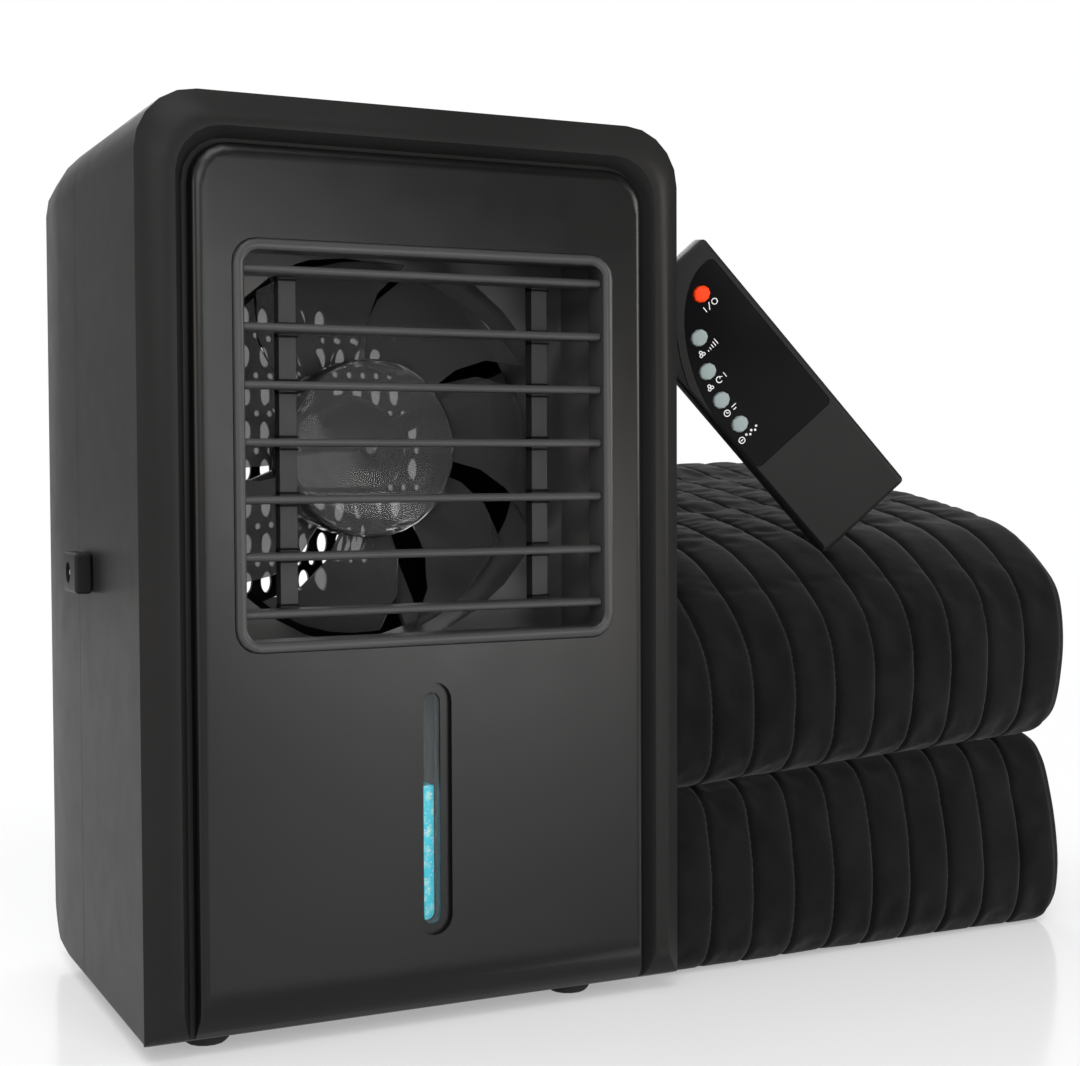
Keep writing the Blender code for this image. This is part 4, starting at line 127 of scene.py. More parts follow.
class Finish:
    """A Principled material that is built up node by node."""

    def __init__(self, name, **sockets):
        self.material = bpy.data.materials.new(name)
        self.material.use_nodes = True
        self.tree = self.material.node_tree
        self.shader = self.tree.nodes["Principled BSDF"]
        for key, value in sockets.items():
            self.shader.inputs[key.replace("_", " ")].default_value = value

    def node(self, kind, **settings):
        """A new node; a setting in lower case is a property, and one in capitals a socket."""
        made = self.tree.nodes.new(kind)
        for key, value in settings.items():
            if hasattr(made, key) and not key[0].isupper():
                setattr(made, key, value)
            else:
                made.inputs[key.replace("_", " ")].default_value = value
        return made

    def link(self, source, target, socket):
        """Joins an output to a named or numbered input of a node."""
        self.tree.links.new(source, target.inputs[socket])

    def place(self, scale=1.0, stretch=(1, 1, 1)):
        """The surface's own coordinates in metres, scaled."""
        coordinates = self.node("ShaderNodeTexCoord")
        mapping = self.node("ShaderNodeMapping")
        mapping.inputs["Scale"].default_value = [scale * s for s in stretch]
        self.link(coordinates.outputs["Object"], mapping, "Vector")
        return mapping.outputs["Vector"]

    def noise(self, scale, detail=2.0, roughness=0.5, stretch=(1, 1, 1)):
        """Soft random patches, about as many to the metre as scale says."""
        made = self.node("ShaderNodeTexNoise", Detail=detail, Roughness=roughness)
        made.inputs["Scale"].default_value = 1.0
        self.link(self.place(scale, stretch), made, "Vector")
        return made.outputs["Fac"]

    def ramp(self, value, low, high, from_low=0.0, from_high=1.0):
        """A number between two limits, from a value between two others."""
        limits = {"From_Min": from_low, "From_Max": from_high, "To_Min": low, "To_Max": high}
        made = self.node("ShaderNodeMapRange", **limits)
        self.link(value, made, "Value")
        return made.outputs["Result"]

    def colours(self, value, first, second, low=0.3, high=0.7):
        """A colour that goes from the first to the second as the value goes from low to high."""
        made = self.node("ShaderNodeValToRGB")
        made.color_ramp.elements[0].position = low
        made.color_ramp.elements[0].color = (*first, 1)
        made.color_ramp.elements[1].position = high
        made.color_ramp.elements[1].color = (*second, 1)
        self.link(value, made, "Fac")
        return made.outputs["Color"]

    def bump(self, height, strength, distance):
        """Adds bump on top of any bump that the finish already has."""
        made = self.node("ShaderNodeBump", Strength=strength, Distance=distance)
        self.link(height, made, "Height")
        if self.shader.inputs["Normal"].is_linked:
            before = self.shader.inputs["Normal"].links[0].from_socket
            self.link(before, made, "Normal")
        self.link(made.outputs["Normal"], self.shader, "Normal")

    def uneven_colour(self, first, second, *patches):
        """A colour that wanders between two others over soft patches."""
        self.link(self.colours(self.noise(*patches), first, second), self.shader, "Base Color")

    def uneven_gloss(self, low, high, *patches):
        """A roughness that wanders between two limits over soft patches."""
        self.link(self.ramp(self.noise(*patches), low, high), self.shader, "Roughness")


COLOUR_CHANGE = 0.12


def moulded(name, colour, roughness, grain=0.06, specular=0.22):
    """Moulded plastic: a fine spark-eroded grain, with slightly uneven gloss and colour."""
    made = Finish(name, Specular_IOR_Level=specular)
    dark, light = [[c * (1 + change) for c in colour] for change in (-COLOUR_CHANGE, COLOUR_CHANGE)]
    made.uneven_colour(dark, light, 9.0, 3.0)
    made.uneven_gloss(roughness - 0.04, roughness + 0.05, 60.0, 3.0)
    made.bump(made.noise(2600.0), grain, 0.0002)
    return made


print("finish kit ready")

# %% [markdown]
# ## The unit's plastics
# The casing is injection moulded in black, with a satin grain on the shells and a smoother, slightly
# glossier front panel. The photograph's blacks are soft greys, so the base colours stay a
# little above pure black, and the gloss does the rest. The fan is moulded in smoky clear
# plastic, which is why the rear grille shows through it.

# %% Plastics of the unit
shell_black = moulded("shell_black", (0.0142, 0.0139, 0.0136), 0.36, specular=0.06)
panel_black = moulded("panel_black", (0.0030, 0.0029, 0.0028), 0.30, grain=0.03, specular=0.24)
frame_black = moulded("frame_black", (0.036, 0.036, 0.036), 0.36, grain=0.03)
blade_black = moulded("blade_black", (0.040, 0.040, 0.041), 0.36, grain=0.03)
# the shroud and bracket are black plastic like the casing; this grey, far lighter than the casing, is
# painted light for the shaded inside of the duct
duct_black = moulded("duct_black", (0.120, 0.118, 0.116), 0.42)
tie_black = moulded("tie_black", (0.019, 0.019, 0.019), 0.40)
# near black and nearly matt: painted shade, darker than the tie bars' own plastic
clip_black = moulded("clip_black", (0.0022, 0.0022, 0.0022), 0.45, specular=0.05)
tank_white = moulded("tank_white", (0.42, 0.45, 0.47), 0.42)
rubber_black = moulded("rubber_black", (0.018, 0.018, 0.018), 0.75, grain=0.15)
key_grey = moulded("key_grey", (0.235, 0.28, 0.275), 0.45, grain=0.03, specular=0.1)
board_green = moulded("board_green", (0.02, 0.13, 0.06), 0.45)

smoky = Finish("smoky_fan", Base_Color=(0.26, 0.26, 0.264, 1), Roughness=0.06, IOR=1.13)
smoky.shader.inputs["Transmission Weight"].default_value = 0.75
smoky.bump(smoky.noise(60.0, 1.0), 0.02, 0.0002)

lens_clear = Finish("lens_clear", Base_Color=(0.30, 0.33, 0.34, 1), Roughness=0.05, Alpha=0.10)
lens_clear.bump(lens_clear.noise(200.0, 1.0), 0.02, 0.0001)
print(len(bpy.data.materials), "materials so far")

# %% [markdown]
# ## Metals
# The motor case is zinc plated, but is drawn near black and not metallic: that is painted shade,
# which keeps it as dark as the shade behind the smoky fan. The screws, the shaft, the battery and the
# socket's pin are bright steel. Brushing is drawn as noise stretched along one direction, which
# varies the roughness and adds a very faint bump.

# %% Metals
BRUSHING = (1, 1, 12)
steel = Finish("bright_steel", Base_Color=(0.62, 0.61, 0.60, 1), Metallic=1.0)
steel.uneven_gloss(0.18, 0.40, 400.0, 2.0, 0.5, BRUSHING)
steel.bump(steel.noise(900.0, stretch=BRUSHING), 0.04, 0.0001)
# near black and not metallic: painted shade on the motor seen through the fan, also used on the pump
motor_zinc = Finish("motor_zinc", Base_Color=(0.012, 0.012, 0.0125, 1), Specular_IOR_Level=0.05)
motor_zinc.uneven_gloss(0.35, 0.50, 80.0, 3.0)
motor_zinc.bump(motor_zinc.noise(700.0), 0.05, 0.0001)
print("metals:", steel.material.name, "and", motor_zinc.material.name)

# %% [markdown]
# ## The water in the level window
# The window shows a column of water with crushed ice in it. Ice is made here with two cell
# patterns: large pale chips in a bright blue, and small white flecks between them, with wet gloss over all.

# %% Ice water
CHIPS, FLECKS = 300.0, 850.0
MIX_FIRST, MIX_SECOND, MIX_RESULT = 6, 7, 2
ice_water = Finish("ice_water", Roughness=0.12, IOR=1.33)
layers = []
for size in (CHIPS, FLECKS):
    chips = ice_water.node("ShaderNodeTexVoronoi", feature="F1", Scale=1.0)
    ice_water.link(ice_water.place(size, (1, 1, 0.7)), chips, "Vector")
    layers.append(chips.outputs["Distance"])
blues = ice_water.colours(layers[0], (0.38, 1.0, 1.0), (0.01, 0.80, 1.0), 0.15, 0.50)
whites = ice_water.colours(layers[1], (1.0, 1.0, 1.0), (0.0, 0.0, 0.0), 0.16, 0.30)
chilled = ice_water.node("ShaderNodeMix", data_type="RGBA", blend_type="SCREEN")
chilled.inputs["Factor"].default_value = 0.8
ice_water.link(blues, chilled, MIX_FIRST)
ice_water.link(whites, chilled, MIX_SECOND)
ice_water.link(chilled.outputs[MIX_RESULT], ice_water.shader, "Base Color")
ice_water.bump(layers[0], 0.3, 0.0004)
print("water:", ice_water.material.name, "with", len(layers), "sizes of ice")

# %% [markdown]
# ## Smooth shading
# A moulded part is smooth, but the solid parts come as loose flat facets. A remesh would change
# their shape, so they are only shaded anew: a small geometry node group joins the facets and shades
# them smooth, but for edges that turn by more than a set angle. A Weighted Normal modifier after it
# lets the large flat faces lead, so that only the roundings show a gradient.

# %% Smooth shading by angle
SHARP = math.radians(50)


def smooth_by_angle_group():
    """The node group that joins the facets and shades them smooth up to the sharp edges."""
    group = bpy.data.node_groups.new("smooth_by_angle", "GeometryNodeTree")
    group.interface.new_socket("Geometry", in_out="INPUT", socket_type="NodeSocketGeometry")
    group.interface.new_socket("Geometry", in_out="OUTPUT", socket_type="NodeSocketGeometry")
    source = group.nodes.new("NodeGroupInput")
    result = group.nodes.new("NodeGroupOutput")
    joined = group.nodes.new("GeometryNodeMergeByDistance")
    joined.inputs["Distance"].default_value = SLIVER
    normals = group.nodes.new("GeometryNodeSetMeshNormal")
    normals.mode = "SHARPNESS"
    normals.inputs["Remove Custom"].default_value = True
    normals.inputs["Face Sharpness"].default_value = False
    angle = group.nodes.new("GeometryNodeInputMeshEdgeAngle")
    wide = group.nodes.new("FunctionNodeCompare")
    wide.inputs["B"].default_value = SHARP
    group.links.new(source.outputs[0], joined.inputs["Geometry"])
    group.links.new(joined.outputs["Geometry"], normals.inputs["Mesh"])
    group.links.new(angle.outputs["Unsigned Angle"], wide.inputs["A"])
    group.links.new(wide.outputs["Result"], normals.inputs["Edge Sharpness"])
    group.links.new(normals.outputs["Mesh"], result.inputs[0])
    return group


SMOOTH = smooth_by_angle_group()


FLAT_FACE_WEIGHT = 100


def shade_round(piece):
    """Rounds the shading of a part's curved faces, and leaves its large flat faces flat."""
    step = piece.modifiers.new("smooth by angle", "NODES")
    step.node_group = SMOOTH
    weighted = piece.modifiers.new("flat faces lead", "WEIGHTED_NORMAL")
    weighted.weight = FLAT_FACE_WEIGHT
    weighted.keep_sharp = True
    return piece


def mesh_piece(name, points, faces, finish):
    """A smooth-shaded piece from its points and faces."""
    mesh = bpy.data.meshes.new(name)
    mesh.from_pydata(points, [], faces)
    mesh.polygons.foreach_set("use_smooth", [True] * len(faces))
    mesh.materials.append(finish.material)
    piece = bpy.data.objects.new(name, mesh)
    scene.collection.objects.link(piece)
    return piece


def turned_out(piece, weld=0):
    """Turns all faces of a piece outwards, and first joins its points that are closer than weld."""
    form = bmesh.new()
    form.from_mesh(piece.data)
    if weld:
        bmesh.ops.remove_doubles(form, verts=form.verts, dist=weld)
    bmesh.ops.recalc_face_normals(form, faces=form.faces)
    form.to_mesh(piece.data)
    form.free()
    return piece


print("shading group", SMOOTH.name, "has", len(SMOOTH.nodes), "nodes")

# %% [markdown]
# ## Dressing the solid parts
# A solid part whose shape is right only takes a finish. The handset adds three: a satin black body,
# a gloss black cover and one red key. The table says which finish goes on each part, by the start
# of its name. A later row overrules an earlier one, as for the red key and the socket's pin.

# %% Finishes of the solid parts
gloss_black = Finish("gloss_black", Base_Color=(0.004, 0.004, 0.0045, 1), Specular_IOR_Level=0.08)
gloss_black.uneven_gloss(0.08, 0.16, 25.0)
gloss_black.bump(gloss_black.noise(40.0, 1.0), 0.02, 0.0003)
key_red = moulded("key_red", (0.80, 0.045, 0.004), 0.38, grain=0.03, specular=0.1)
handset_black = moulded("handset_black", (0.0145, 0.0145, 0.0141), 0.5, grain=0.12, specular=0.08)
BLADES = 7
dressing = {
    shell_black: (
        "front_shell", "rear_shell", "rear_grille", "filler_cap", "power_inlet",
        "coupling_", "gauge_housing", "ioniser",
    ),
    duct_black: ("fan_shroud", "motor_bracket"),
    panel_black: ("front_panel", "control_strip"),
    frame_black: ("louvre_frame",),
    blade_black: tuple(f"louvre_{k}" for k in range(1, BLADES + 1)),
    tie_black: ("tie_bar",),
    smoky: ("fan_impeller",),
    steel: ("fan_shaft", "grille_screw", "power_inlet_pin", "battery_cell"),
    motor_zinc: ("fan_motor", "water_pump"),
    tank_white: ("water_tank", "tank_lid"),
    lens_clear: ("level_lens",),
    ice_water: ("level_water",),
    rubber_black: ("foot_", "drain_plug", "hose_"),
    key_grey: ("top_key", "handset_key"),
    key_red: ("handset_key_1",),
    board_green: ("control_board", "handset_board"),
    gloss_black: ("handset_overlay",),
    handset_black: ("handset_front", "handset_back", "battery_cover"),
}
for finish, names in dressing.items():
    for name, node in nodes.items():
        if any(name.startswith(start) for start in names):
            node.data.materials.clear()
            node.data.materials.append(finish.material)
for node in nodes.values():
    shade_round(node)
print(len(nodes), "solid parts dressed")

# %% [markdown]
# ## The rear grille
# Air is drawn in through a round grille at the back. Seen through the window and the smoky fan it
# is the brightest pattern of the whole set. It has rows of upright ovals, with a row of small dots
# between each two, and a hole for each of its four screws. A print or a bump map would look closed
# from inside, where the light comes through, so each hole is a real one and starts as an outline.

# %% Outlines of the grille
grille_low, grille_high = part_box("rear_grille")
GRILLE_MIDDLE = (grille_low + grille_high) / 2
GRILLE_REACH = (grille_high.x - grille_low.x) / 2
RIM = 0.0102
HOLE_REACH = GRILLE_REACH - RIM
HOLE_ROWS = range(-5, 5)
HOLE_ROW_PITCH = 0.019
OVAL_PITCH, OVAL_WIDTH, OVAL_HEIGHT, OVAL_SIDES = 0.010, 0.0055, 0.011, 18
DOT_PITCH, DOT_SIZE, DOT_SIDES = 0.0072, 0.0032, 12
SCREWS = 4
SCREW_INSET = 0.0037
SCREW_REACH = GRILLE_REACH - SCREW_INSET
SCREW_HOLE = 0.0034


def oval(x, z, width, height, count):
    """An oval outline round a place on the grille."""
    turns = [2 * math.pi * k / count for k in range(count)]
    return [Vector((x + width / 2 * math.cos(turn), z + height / 2 * math.sin(turn))) for turn in turns]


def row_of_holes(z, pitch, width, height, count):
    """As many holes as fit side by side in one row."""
    room = HOLE_REACH**2 - (abs(z) + height / 2) ** 2
    most = int((math.sqrt(max(room, 0)) - width / 2) / pitch) if room > 0 else -1
    return [oval(k * pitch, z, width, height, count) for k in range(-most, most + 1)]


holes = []
for row in HOLE_ROWS:
    between = (row + 0.5) * HOLE_ROW_PITCH
    holes.extend(row_of_holes(between, OVAL_PITCH, OVAL_WIDTH, OVAL_HEIGHT, OVAL_SIDES))
    holes.extend(row_of_holes(row * HOLE_ROW_PITCH, DOT_PITCH, DOT_SIZE, DOT_SIZE, DOT_SIDES))
for k in range(SCREWS):
    turn = math.pi * (2 * k + 1) / SCREWS
    x, z = SCREW_REACH * math.cos(turn), SCREW_REACH * math.sin(turn)
    holes.append(oval(x, z, SCREW_HOLE, SCREW_HOLE, DOT_SIDES))
print(len(holes), "holes")

# %% [markdown]
# Cutting that many holes with Booleans would be slow and could leave stray faces. Instead all
# outlines go into one Delaunay triangulation. A triangle whose three corners lie on the same hole
# fills it, so it is left out. The back is the same, turned over, and a wall goes round each outline.

# %% The grille
INSIDE_THE_OUTLINES = 2  # the kind of triangulation that leaves out what is outside
DISC_SIDES = 96
GRILLE_EDGE = 0.0006


def disc_faces(outlines):
    """Triangles that fill the first outline and leave the others open, as numbers of points."""
    points = [point for outline in outlines for point in outline]
    owner = [number for number, outline in enumerate(outlines) for point in outline]
    rings, start = [], 0
    for outline in outlines:
        count = len(outline)
        rings.extend((start + k, start + (k + 1) % count) for k in range(count))
        start += count
    made = delaunay_2d_cdt(points, rings, [], INSIDE_THE_OUTLINES, SLIVER)
    triangles, sources = made[2], made[3]
    faces = [tuple(sources[corner][0] for corner in face) for face in triangles]
    return [face for face in faces if len({owner[corner] for corner in face}) > 1 or owner[face[0]] == 0]


def punched_disc(name, outlines, front, back, edge, finish):
    """A disc with holes, its rear edge slightly rounded."""
    faces = disc_faces(outlines)
    count = sum(len(outline) for outline in outlines)
    rear = [[point * (1 - edge / GRILLE_REACH) for point in outlines[0]], *outlines[1:]]
    layers = [(front, outlines), (back, rear)]
    points = []
    for y, flat in layers:
        for point in [point for outline in flat for point in outline]:
            points.append(GRILLE_MIDDLE + Vector((point.x, y - GRILLE_MIDDLE.y, point.y)))
    made = [*faces, *[tuple(count + corner for corner in reversed(face)) for face in faces]]
    start = 0
    for outline in outlines:
        size = len(outline)
        for k in range(size):
            this, beside = start + k, start + (k + 1) % size
            made.append((this, beside, count + beside, count + this))
        start += size
    return shade_round(turned_out(mesh_piece(name, points, made, finish)))


outlines = [oval(0, 0, 2 * GRILLE_REACH, 2 * GRILLE_REACH, DISC_SIDES), *holes]
grille = punched_disc("grille_punched", outlines, grille_low.y, grille_high.y, GRILLE_EDGE, shell_black)
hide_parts("rear_grille")
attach(grille, "cooling_unit")
print(grille.name, len(grille.data.polygons), "faces")

# %% [markdown]
# ## Clips of the tie bars
# Two upright bars tie the seven blades together, so that they tilt as one. Each bar holds a blade's
# pin in a small open clip, which shows as a dark hook above and below the blade. The clips' near-black,
# nearly matt colour, darker than the bars' own plastic, is painted shade for the shade lines round each
# blade. The clips are too fine for the solid parts, so they are lofted here from one C-shaped outline,
# seen from the side. They belong to the bars.

# %% Clips
CLIP_UPPER_HALF = ((0.0023, 0.0030), (-0.0034, 0.0030), (-0.0034, 0.0022), (0.0016, 0.0022))
CLIP_OUTLINE = (*CLIP_UPPER_HALF, *((y, -z) for y, z in reversed(CLIP_UPPER_HALF)))
CLIP_SPREAD = 0.0005
CLIP_SET_BACK = 0.0036


def clip_row(name, bar, finish):
    """A clip at every blade's pin along one tie bar."""
    low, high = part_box(bar)
    middle = (low.x + high.x) / 2
    half = (high.x - low.x) / 2 + CLIP_SPREAD
    points, faces = [], []
    for k in range(1, BLADES + 1):
        blade_low, blade_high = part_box(f"louvre_{k}")
        level = (blade_low.z + blade_high.z) / 2
        start = len(points)
        for x in (middle - half, middle + half):
            points.extend(Vector((x, high.y - CLIP_SET_BACK + y, level + z)) for y, z in CLIP_OUTLINE)
        size = len(CLIP_OUTLINE)
        faces.append(tuple(start + n for n in range(size)))
        faces.append(tuple(start + size + n for n in reversed(range(size))))
        for n in range(size):
            this, beside = start + n, start + (n + 1) % size
            faces.append((this, size + this, size + beside, beside))
    return shade_round(turned_out(mesh_piece(name, points, faces, finish)))


for side in ("left", "right"):
    clips = clip_row(f"tie_clips_{side}", f"tie_bar_{side}", clip_black)
    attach(clips, f"tie_{side}")
    print(clips.name, len(clips.data.polygons), "faces")

# %% [markdown]
# ## Marks on the handset
# The gloss cover has a small printed mark under each key. A print is a film of ink, so it is
# modelled as one: every mark is a few strokes, and every stroke is a flat ribbon, less than half a
# millimetre wide, that lies on the cover. The marks are plain signs: on and off, a fan with rising
# bars, a fan that swings, a clock with two bars, and a minus with a row of dots.

# %% Strokes of the marks
STROKE = 0.00042
MARK_SCALE = 0.00132


def arc(x, z, radius, start, end, count=14):
    """Points round part of a circle, angles in degrees."""
    turns = [math.radians(start + (end - start) * k / count) for k in range(count + 1)]
    return [(x + radius * math.cos(turn), z + radius * math.sin(turn)) for turn in turns]


def fan_sign(x):
    """Three open leaves round a hub."""
    leaves = []
    for turn in (90, 210, 330):
        across, up = math.cos(math.radians(turn)), math.sin(math.radians(turn))
        leaves.append(arc(x + 0.72 * across, 0.72 * up, 0.52, turn - 150, turn + 150, 9))
    return [*leaves, arc(x, 0, 0.16, 0, 360, 6)]


RISING_BARS = [[(1.1 * k - 0.4, -1.1), (1.1 * k - 0.4, 0.4 * k - 0.4)] for k in range(5)]
DOTS = [arc(1.2 * k - 0.6, -0.4 if k % 2 else 0.5, 0.3, 0, 360, 8) for k in range(5)]
SWING = [arc(1.4, 0, 1.1, 30, 300), [(1.75, 0.1), (2.4, 0.62), (3.0, 0.1)], [(4.2, -1.0), (4.2, 1.0)]]
CLOCK = [arc(-1.4, 0, 1.15, 0, 360), [(-1.4, 0.7), (-1.4, 0), (-0.85, -0.3)]]
MARKS = {
    1: [[(-2.6, -1.1), (-2.6, 1.1)], [(-1.3, -1.2), (0.2, 1.2)], arc(2.0, 0, 1.05, 0, 360)],
    2: [*fan_sign(-3.0), *RISING_BARS],
    3: [*fan_sign(-3.0), *SWING],
    4: [*CLOCK, [(1.2, 0.6), (3.4, 0.6)], [(1.2, -0.6), (2.6, -0.6)]],
    5: [arc(-3.2, 0, 1.15, 0, 360), [(-3.8, 0), (-2.6, 0)], *DOTS],
}


def ribbon(line):
    """Corner points on both sides of a line of points, as wide as a stroke."""
    points = [Vector((x, z)) * MARK_SCALE for x, z in line]
    closed = (points[0] - points[-1]).length < SLIVER
    found = []
    for k, point in enumerate(points):
        before = points[k - 1] if k else (points[-2] if closed else point)
        after = points[k + 1] if k + 1 < len(points) else (points[1] if closed else point)
        along = (after - before).normalized()
        aside = Vector((-along.y, along.x)) * STROKE / 2
        found.extend((point + aside, point - aside))
    return found


print(len(MARKS), "marks with", sum(len(lines) for lines in MARKS.values()), "strokes")

# %% [markdown]
# The handset leans on the pad, so its face lies askew. Its three angles give the handset's own
# frame, in which each mark goes straight under the middle of its key, just proud of the cover.

# %% The printed marks
HANDSET_ANGLES = (8.45, -42.07, -20.8)
HANDSET_TURN = Euler([math.radians(angle) for angle in HANDSET_ANGLES]).to_matrix()
MARK_DROP = 0.0068
INK_LIFT = 0.00005


def on_handset(name):
    """The corner points of a part, in the handset's own frame: across, out of its face and along."""
    return [HANDSET_TURN.transposed() @ vertex.co for vertex in nodes[name].data.vertices]


face_y = min(point.y for point in on_handset("handset_overlay"))
points, faces = [], []
for key, lines in MARKS.items():
    corners = on_handset(f"handset_key_{key}")
    x = (min(p.x for p in corners) + max(p.x for p in corners)) / 2
    z = (min(p.z for p in corners) + max(p.z for p in corners)) / 2 - MARK_DROP
    for line in lines:
        start = len(points)
        for flat in ribbon(line):
            points.append(HANDSET_TURN @ Vector((x + flat.x, face_y - INK_LIFT, z + flat.y)))
        for n in range(start, start + 2 * len(line) - 2, 2):
            faces.append((n, n + 1, n + 3, n + 2))
ink = moulded("pale_ink", (0.68, 0.69, 0.69), 0.55, grain=0.03)
marks = mesh_piece("handset_marks", points, faces, ink)
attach(marks, "handset")
print(marks.name, len(faces), "faces")

# %% [markdown]
# ## The quilted pad
# The pad is two cloths with a soft filling between them, sewn together along straight seams, so
# that it is a row of channels. Here it lies folded in two thick rolls, one on the other, and the
# seams run over each roll from the front to the back. Sculpting that by hand gives channels that
# all look alike, so it is made the way it happens: cloth is laid over each solid roll as a grid
# whose columns follow the seams, the seam columns are held, and Blender's Cloth blows up what is
# between them. The cloth starts a little too large, which is what puckers a real quilt.

# %% Sizes of the quilt
CHANNELS = 10
CHANNEL = 0.0226
CLOTH_COLUMNS = 6
CLOTH_ROWS = 210
REST_BAND = 0.0020
pad_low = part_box("pad_upper_roll")[0]
LEFT_BULGE, RIGHT_BULGE = 0.0010, 0.0065
SEAM_START = pad_low.x + LEFT_BULGE
ROLL_CORES = {
    "pad_lower_roll": ((0.16, 0.50), (0.84, 0.50)),
    "pad_upper_roll": ((0.17, 0.30), (0.77, 0.50)),
}
print("seams every", CHANNEL * 1000, "mm from x =", round(SEAM_START, 4))

# %% [markdown]
# The solid roll has few corners at each seam. Straight lines between them would show as kinks in
# the cloth, so a smooth curve goes through them. Each ring starts at the front and has the same
# number of points, so that the rings can be joined to a grid. The core is the line in the middle of
# a roll, about which its layers are folded.

# %% Smooth sections from the solid roll
FINE_STEPS = 24


def curve_through(before, start, end, after, share):
    """A point on the smooth curve from start to end, also where the points lie unevenly."""
    spans = ((before, start), (start, end), (end, after))
    one, two, three = [max((b - a).length, SLIVER) ** 0.5 for a, b in spans]
    leave = ((start - before) / one - (end - before) / (one + two) + (end - start) / two) * two
    arrive = ((end - start) / two - (after - start) / (two + three) + (after - end) / three) * two
    square, cube = share**2, share**3
    ends = start * (2 * cube - 3 * square + 1) + end * (3 * square - 2 * cube)
    return ends + leave * (cube - 2 * square + share) + arrive * (cube - square)


def evenly(points, count):
    """Evenly spaced points along a closed line."""
    runs = [0]
    for point, after in zip(points, points[1:] + points[:1]):
        runs.append(runs[-1] + (after - point).length)
    found, k = [], 0
    for number in range(count):
        run = runs[-1] * number / count
        while runs[k + 1] < run:
            k += 1
        share = (run - runs[k]) / max(runs[k + 1] - runs[k], SLIVER)
        found.append(points[k].lerp(points[(k + 1) % len(points)], share))
    return found


def section_at(node, x, height):
    """A smooth ring through the solid roll's corners at one seam, from its front and round under it."""
    at_seam = [vertex.co.copy() for vertex in node.data.vertices if abs(vertex.co.x - x) < SLIVER]
    corners = list({tuple(round(v, 5) for v in corner): corner for corner in at_seam}.values())
    centre = sum(corners, Vector()) / len(corners)
    corners.sort(key=lambda corner: math.atan2(corner.z - centre.z, corner.y - centre.y))
    fine = []
    for k in range(len(corners)):
        four = [corners[(k + step) % len(corners)] for step in (-1, 0, 1, 2)]
        fine.extend(curve_through(*four, part / FINE_STEPS) for part in range(FINE_STEPS))
    for k, point in enumerate(fine):
        before = fine[k - 1]
        if before.z > height >= point.z and point.y < centre.y:
            start = before.lerp(point, (before.z - height) / (before.z - point.z))
            return evenly([start, *fine[k:], *fine[:k]], CLOTH_ROWS)
    return fine


def lay_cloth(node):
    """Columns of cloth from seam to seam, straight across each channel."""
    low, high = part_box(node.name)
    height = (low.z + high.z) / 2
    seams = [section_at(node, SEAM_START + k * CHANNEL, height) for k in range(CHANNELS + 1)]
    columns = []
    for left, right in zip(seams, seams[1:]):
        for step in range(CLOTH_COLUMNS):
            columns.append([a.lerp(b, step / CLOTH_COLUMNS) for a, b in zip(left, right)])
    columns.append(seams[-1])
    return columns


def ways_out(ring):
    """The direction straight out of a ring at each of its points."""
    count = len(ring)
    found = []
    for k in range(count):
        along = ring[(k + 2) % count] - ring[k - 2]
        found.append(Vector((0, along.z, -along.y)).normalized())
    return found


def on_core(points, low, high, core):
    """For each point of a ring, the nearest place on the line in the middle of the roll."""
    front, back = [Vector((0, low.y + a * (high.y - low.y), low.z + b * (high.z - low.z))) for a, b in core]
    along = back - front
    shares = [min(max((point - front).dot(along) / along.length_squared, 0), 1) for point in points]
    return [front + along * share for share in shares]


print("sections of", CLOTH_ROWS, "points come from the solid rolls' own corners")

# %% [markdown]
# Cloth works out the puffed shape over a few frames, with pressure inside and no weight. Where a
# roll rests on something, its points are held too.

# %% Blowing up the channels
PRESSURE = 4.0
BENDING = 3.0
CLOTH_FRAMES = 20
SPARE_CLOTH = 0.012
PUFF_LIMIT = 0.0042


def grid_faces(columns, rows):
    """Four-sided faces between the columns of a grid that closes on itself round the rows."""
    faces = []
    for c in range(columns - 1):
        for r in range(rows):
            n = (r + 1) % rows
            faces.append((c * rows + r, c * rows + n, (c + 1) * rows + n, (c + 1) * rows + r))
    return faces


def blow_up(columns, resting):
    """The same columns after Cloth has pushed them out between the seams."""
    rows = len(columns[0])
    mesh = bpy.data.meshes.new("cloth_to_blow_up")
    mesh.from_pydata([point for column in columns for point in column], [], grid_faces(len(columns), rows))
    piece = bpy.data.objects.new("cloth_to_blow_up", mesh)
    scene.collection.objects.link(piece)
    held = piece.vertex_groups.new(name="held")
    for c in range(len(columns)):
        for r in range(rows):
            if c % CLOTH_COLUMNS == 0 or resting[r]:
                held.add([c * rows + r], 1.0, "REPLACE")
    settings = piece.modifiers.new("cloth", "CLOTH").settings
    settings.vertex_group_mass = "held"
    settings.use_pressure = True
    settings.uniform_pressure_force = PRESSURE
    settings.effector_weights.gravity = 0
    settings.shrink_min = -SPARE_CLOTH
    settings.bending_stiffness = BENDING
    for number in range(1, CLOTH_FRAMES + 1):
        scene.frame_set(number)
    seen = piece.evaluated_get(bpy.context.evaluated_depsgraph_get()).data
    blown = [vertex.co.copy() for vertex in seen.vertices]
    scene.frame_set(1)
    bpy.data.objects.remove(piece)
    return [blown[c * rows : (c + 1) * rows] for c in range(len(columns))]


def puffed(columns, resting):
    blown = blow_up(columns, resting)
    found = []
    for c, (column, after) in enumerate(zip(columns, blown)):
        ring = []
        for r, (point, moved) in enumerate(zip(column, after)):
            move = moved - point
            if move.length > PUFF_LIMIT:
                move *= PUFF_LIMIT / move.length
            ring.append(point + move)
        found.append(ring)
    return found


print("channels are blown up with pressure", PRESSURE, "unless this is a quick look")

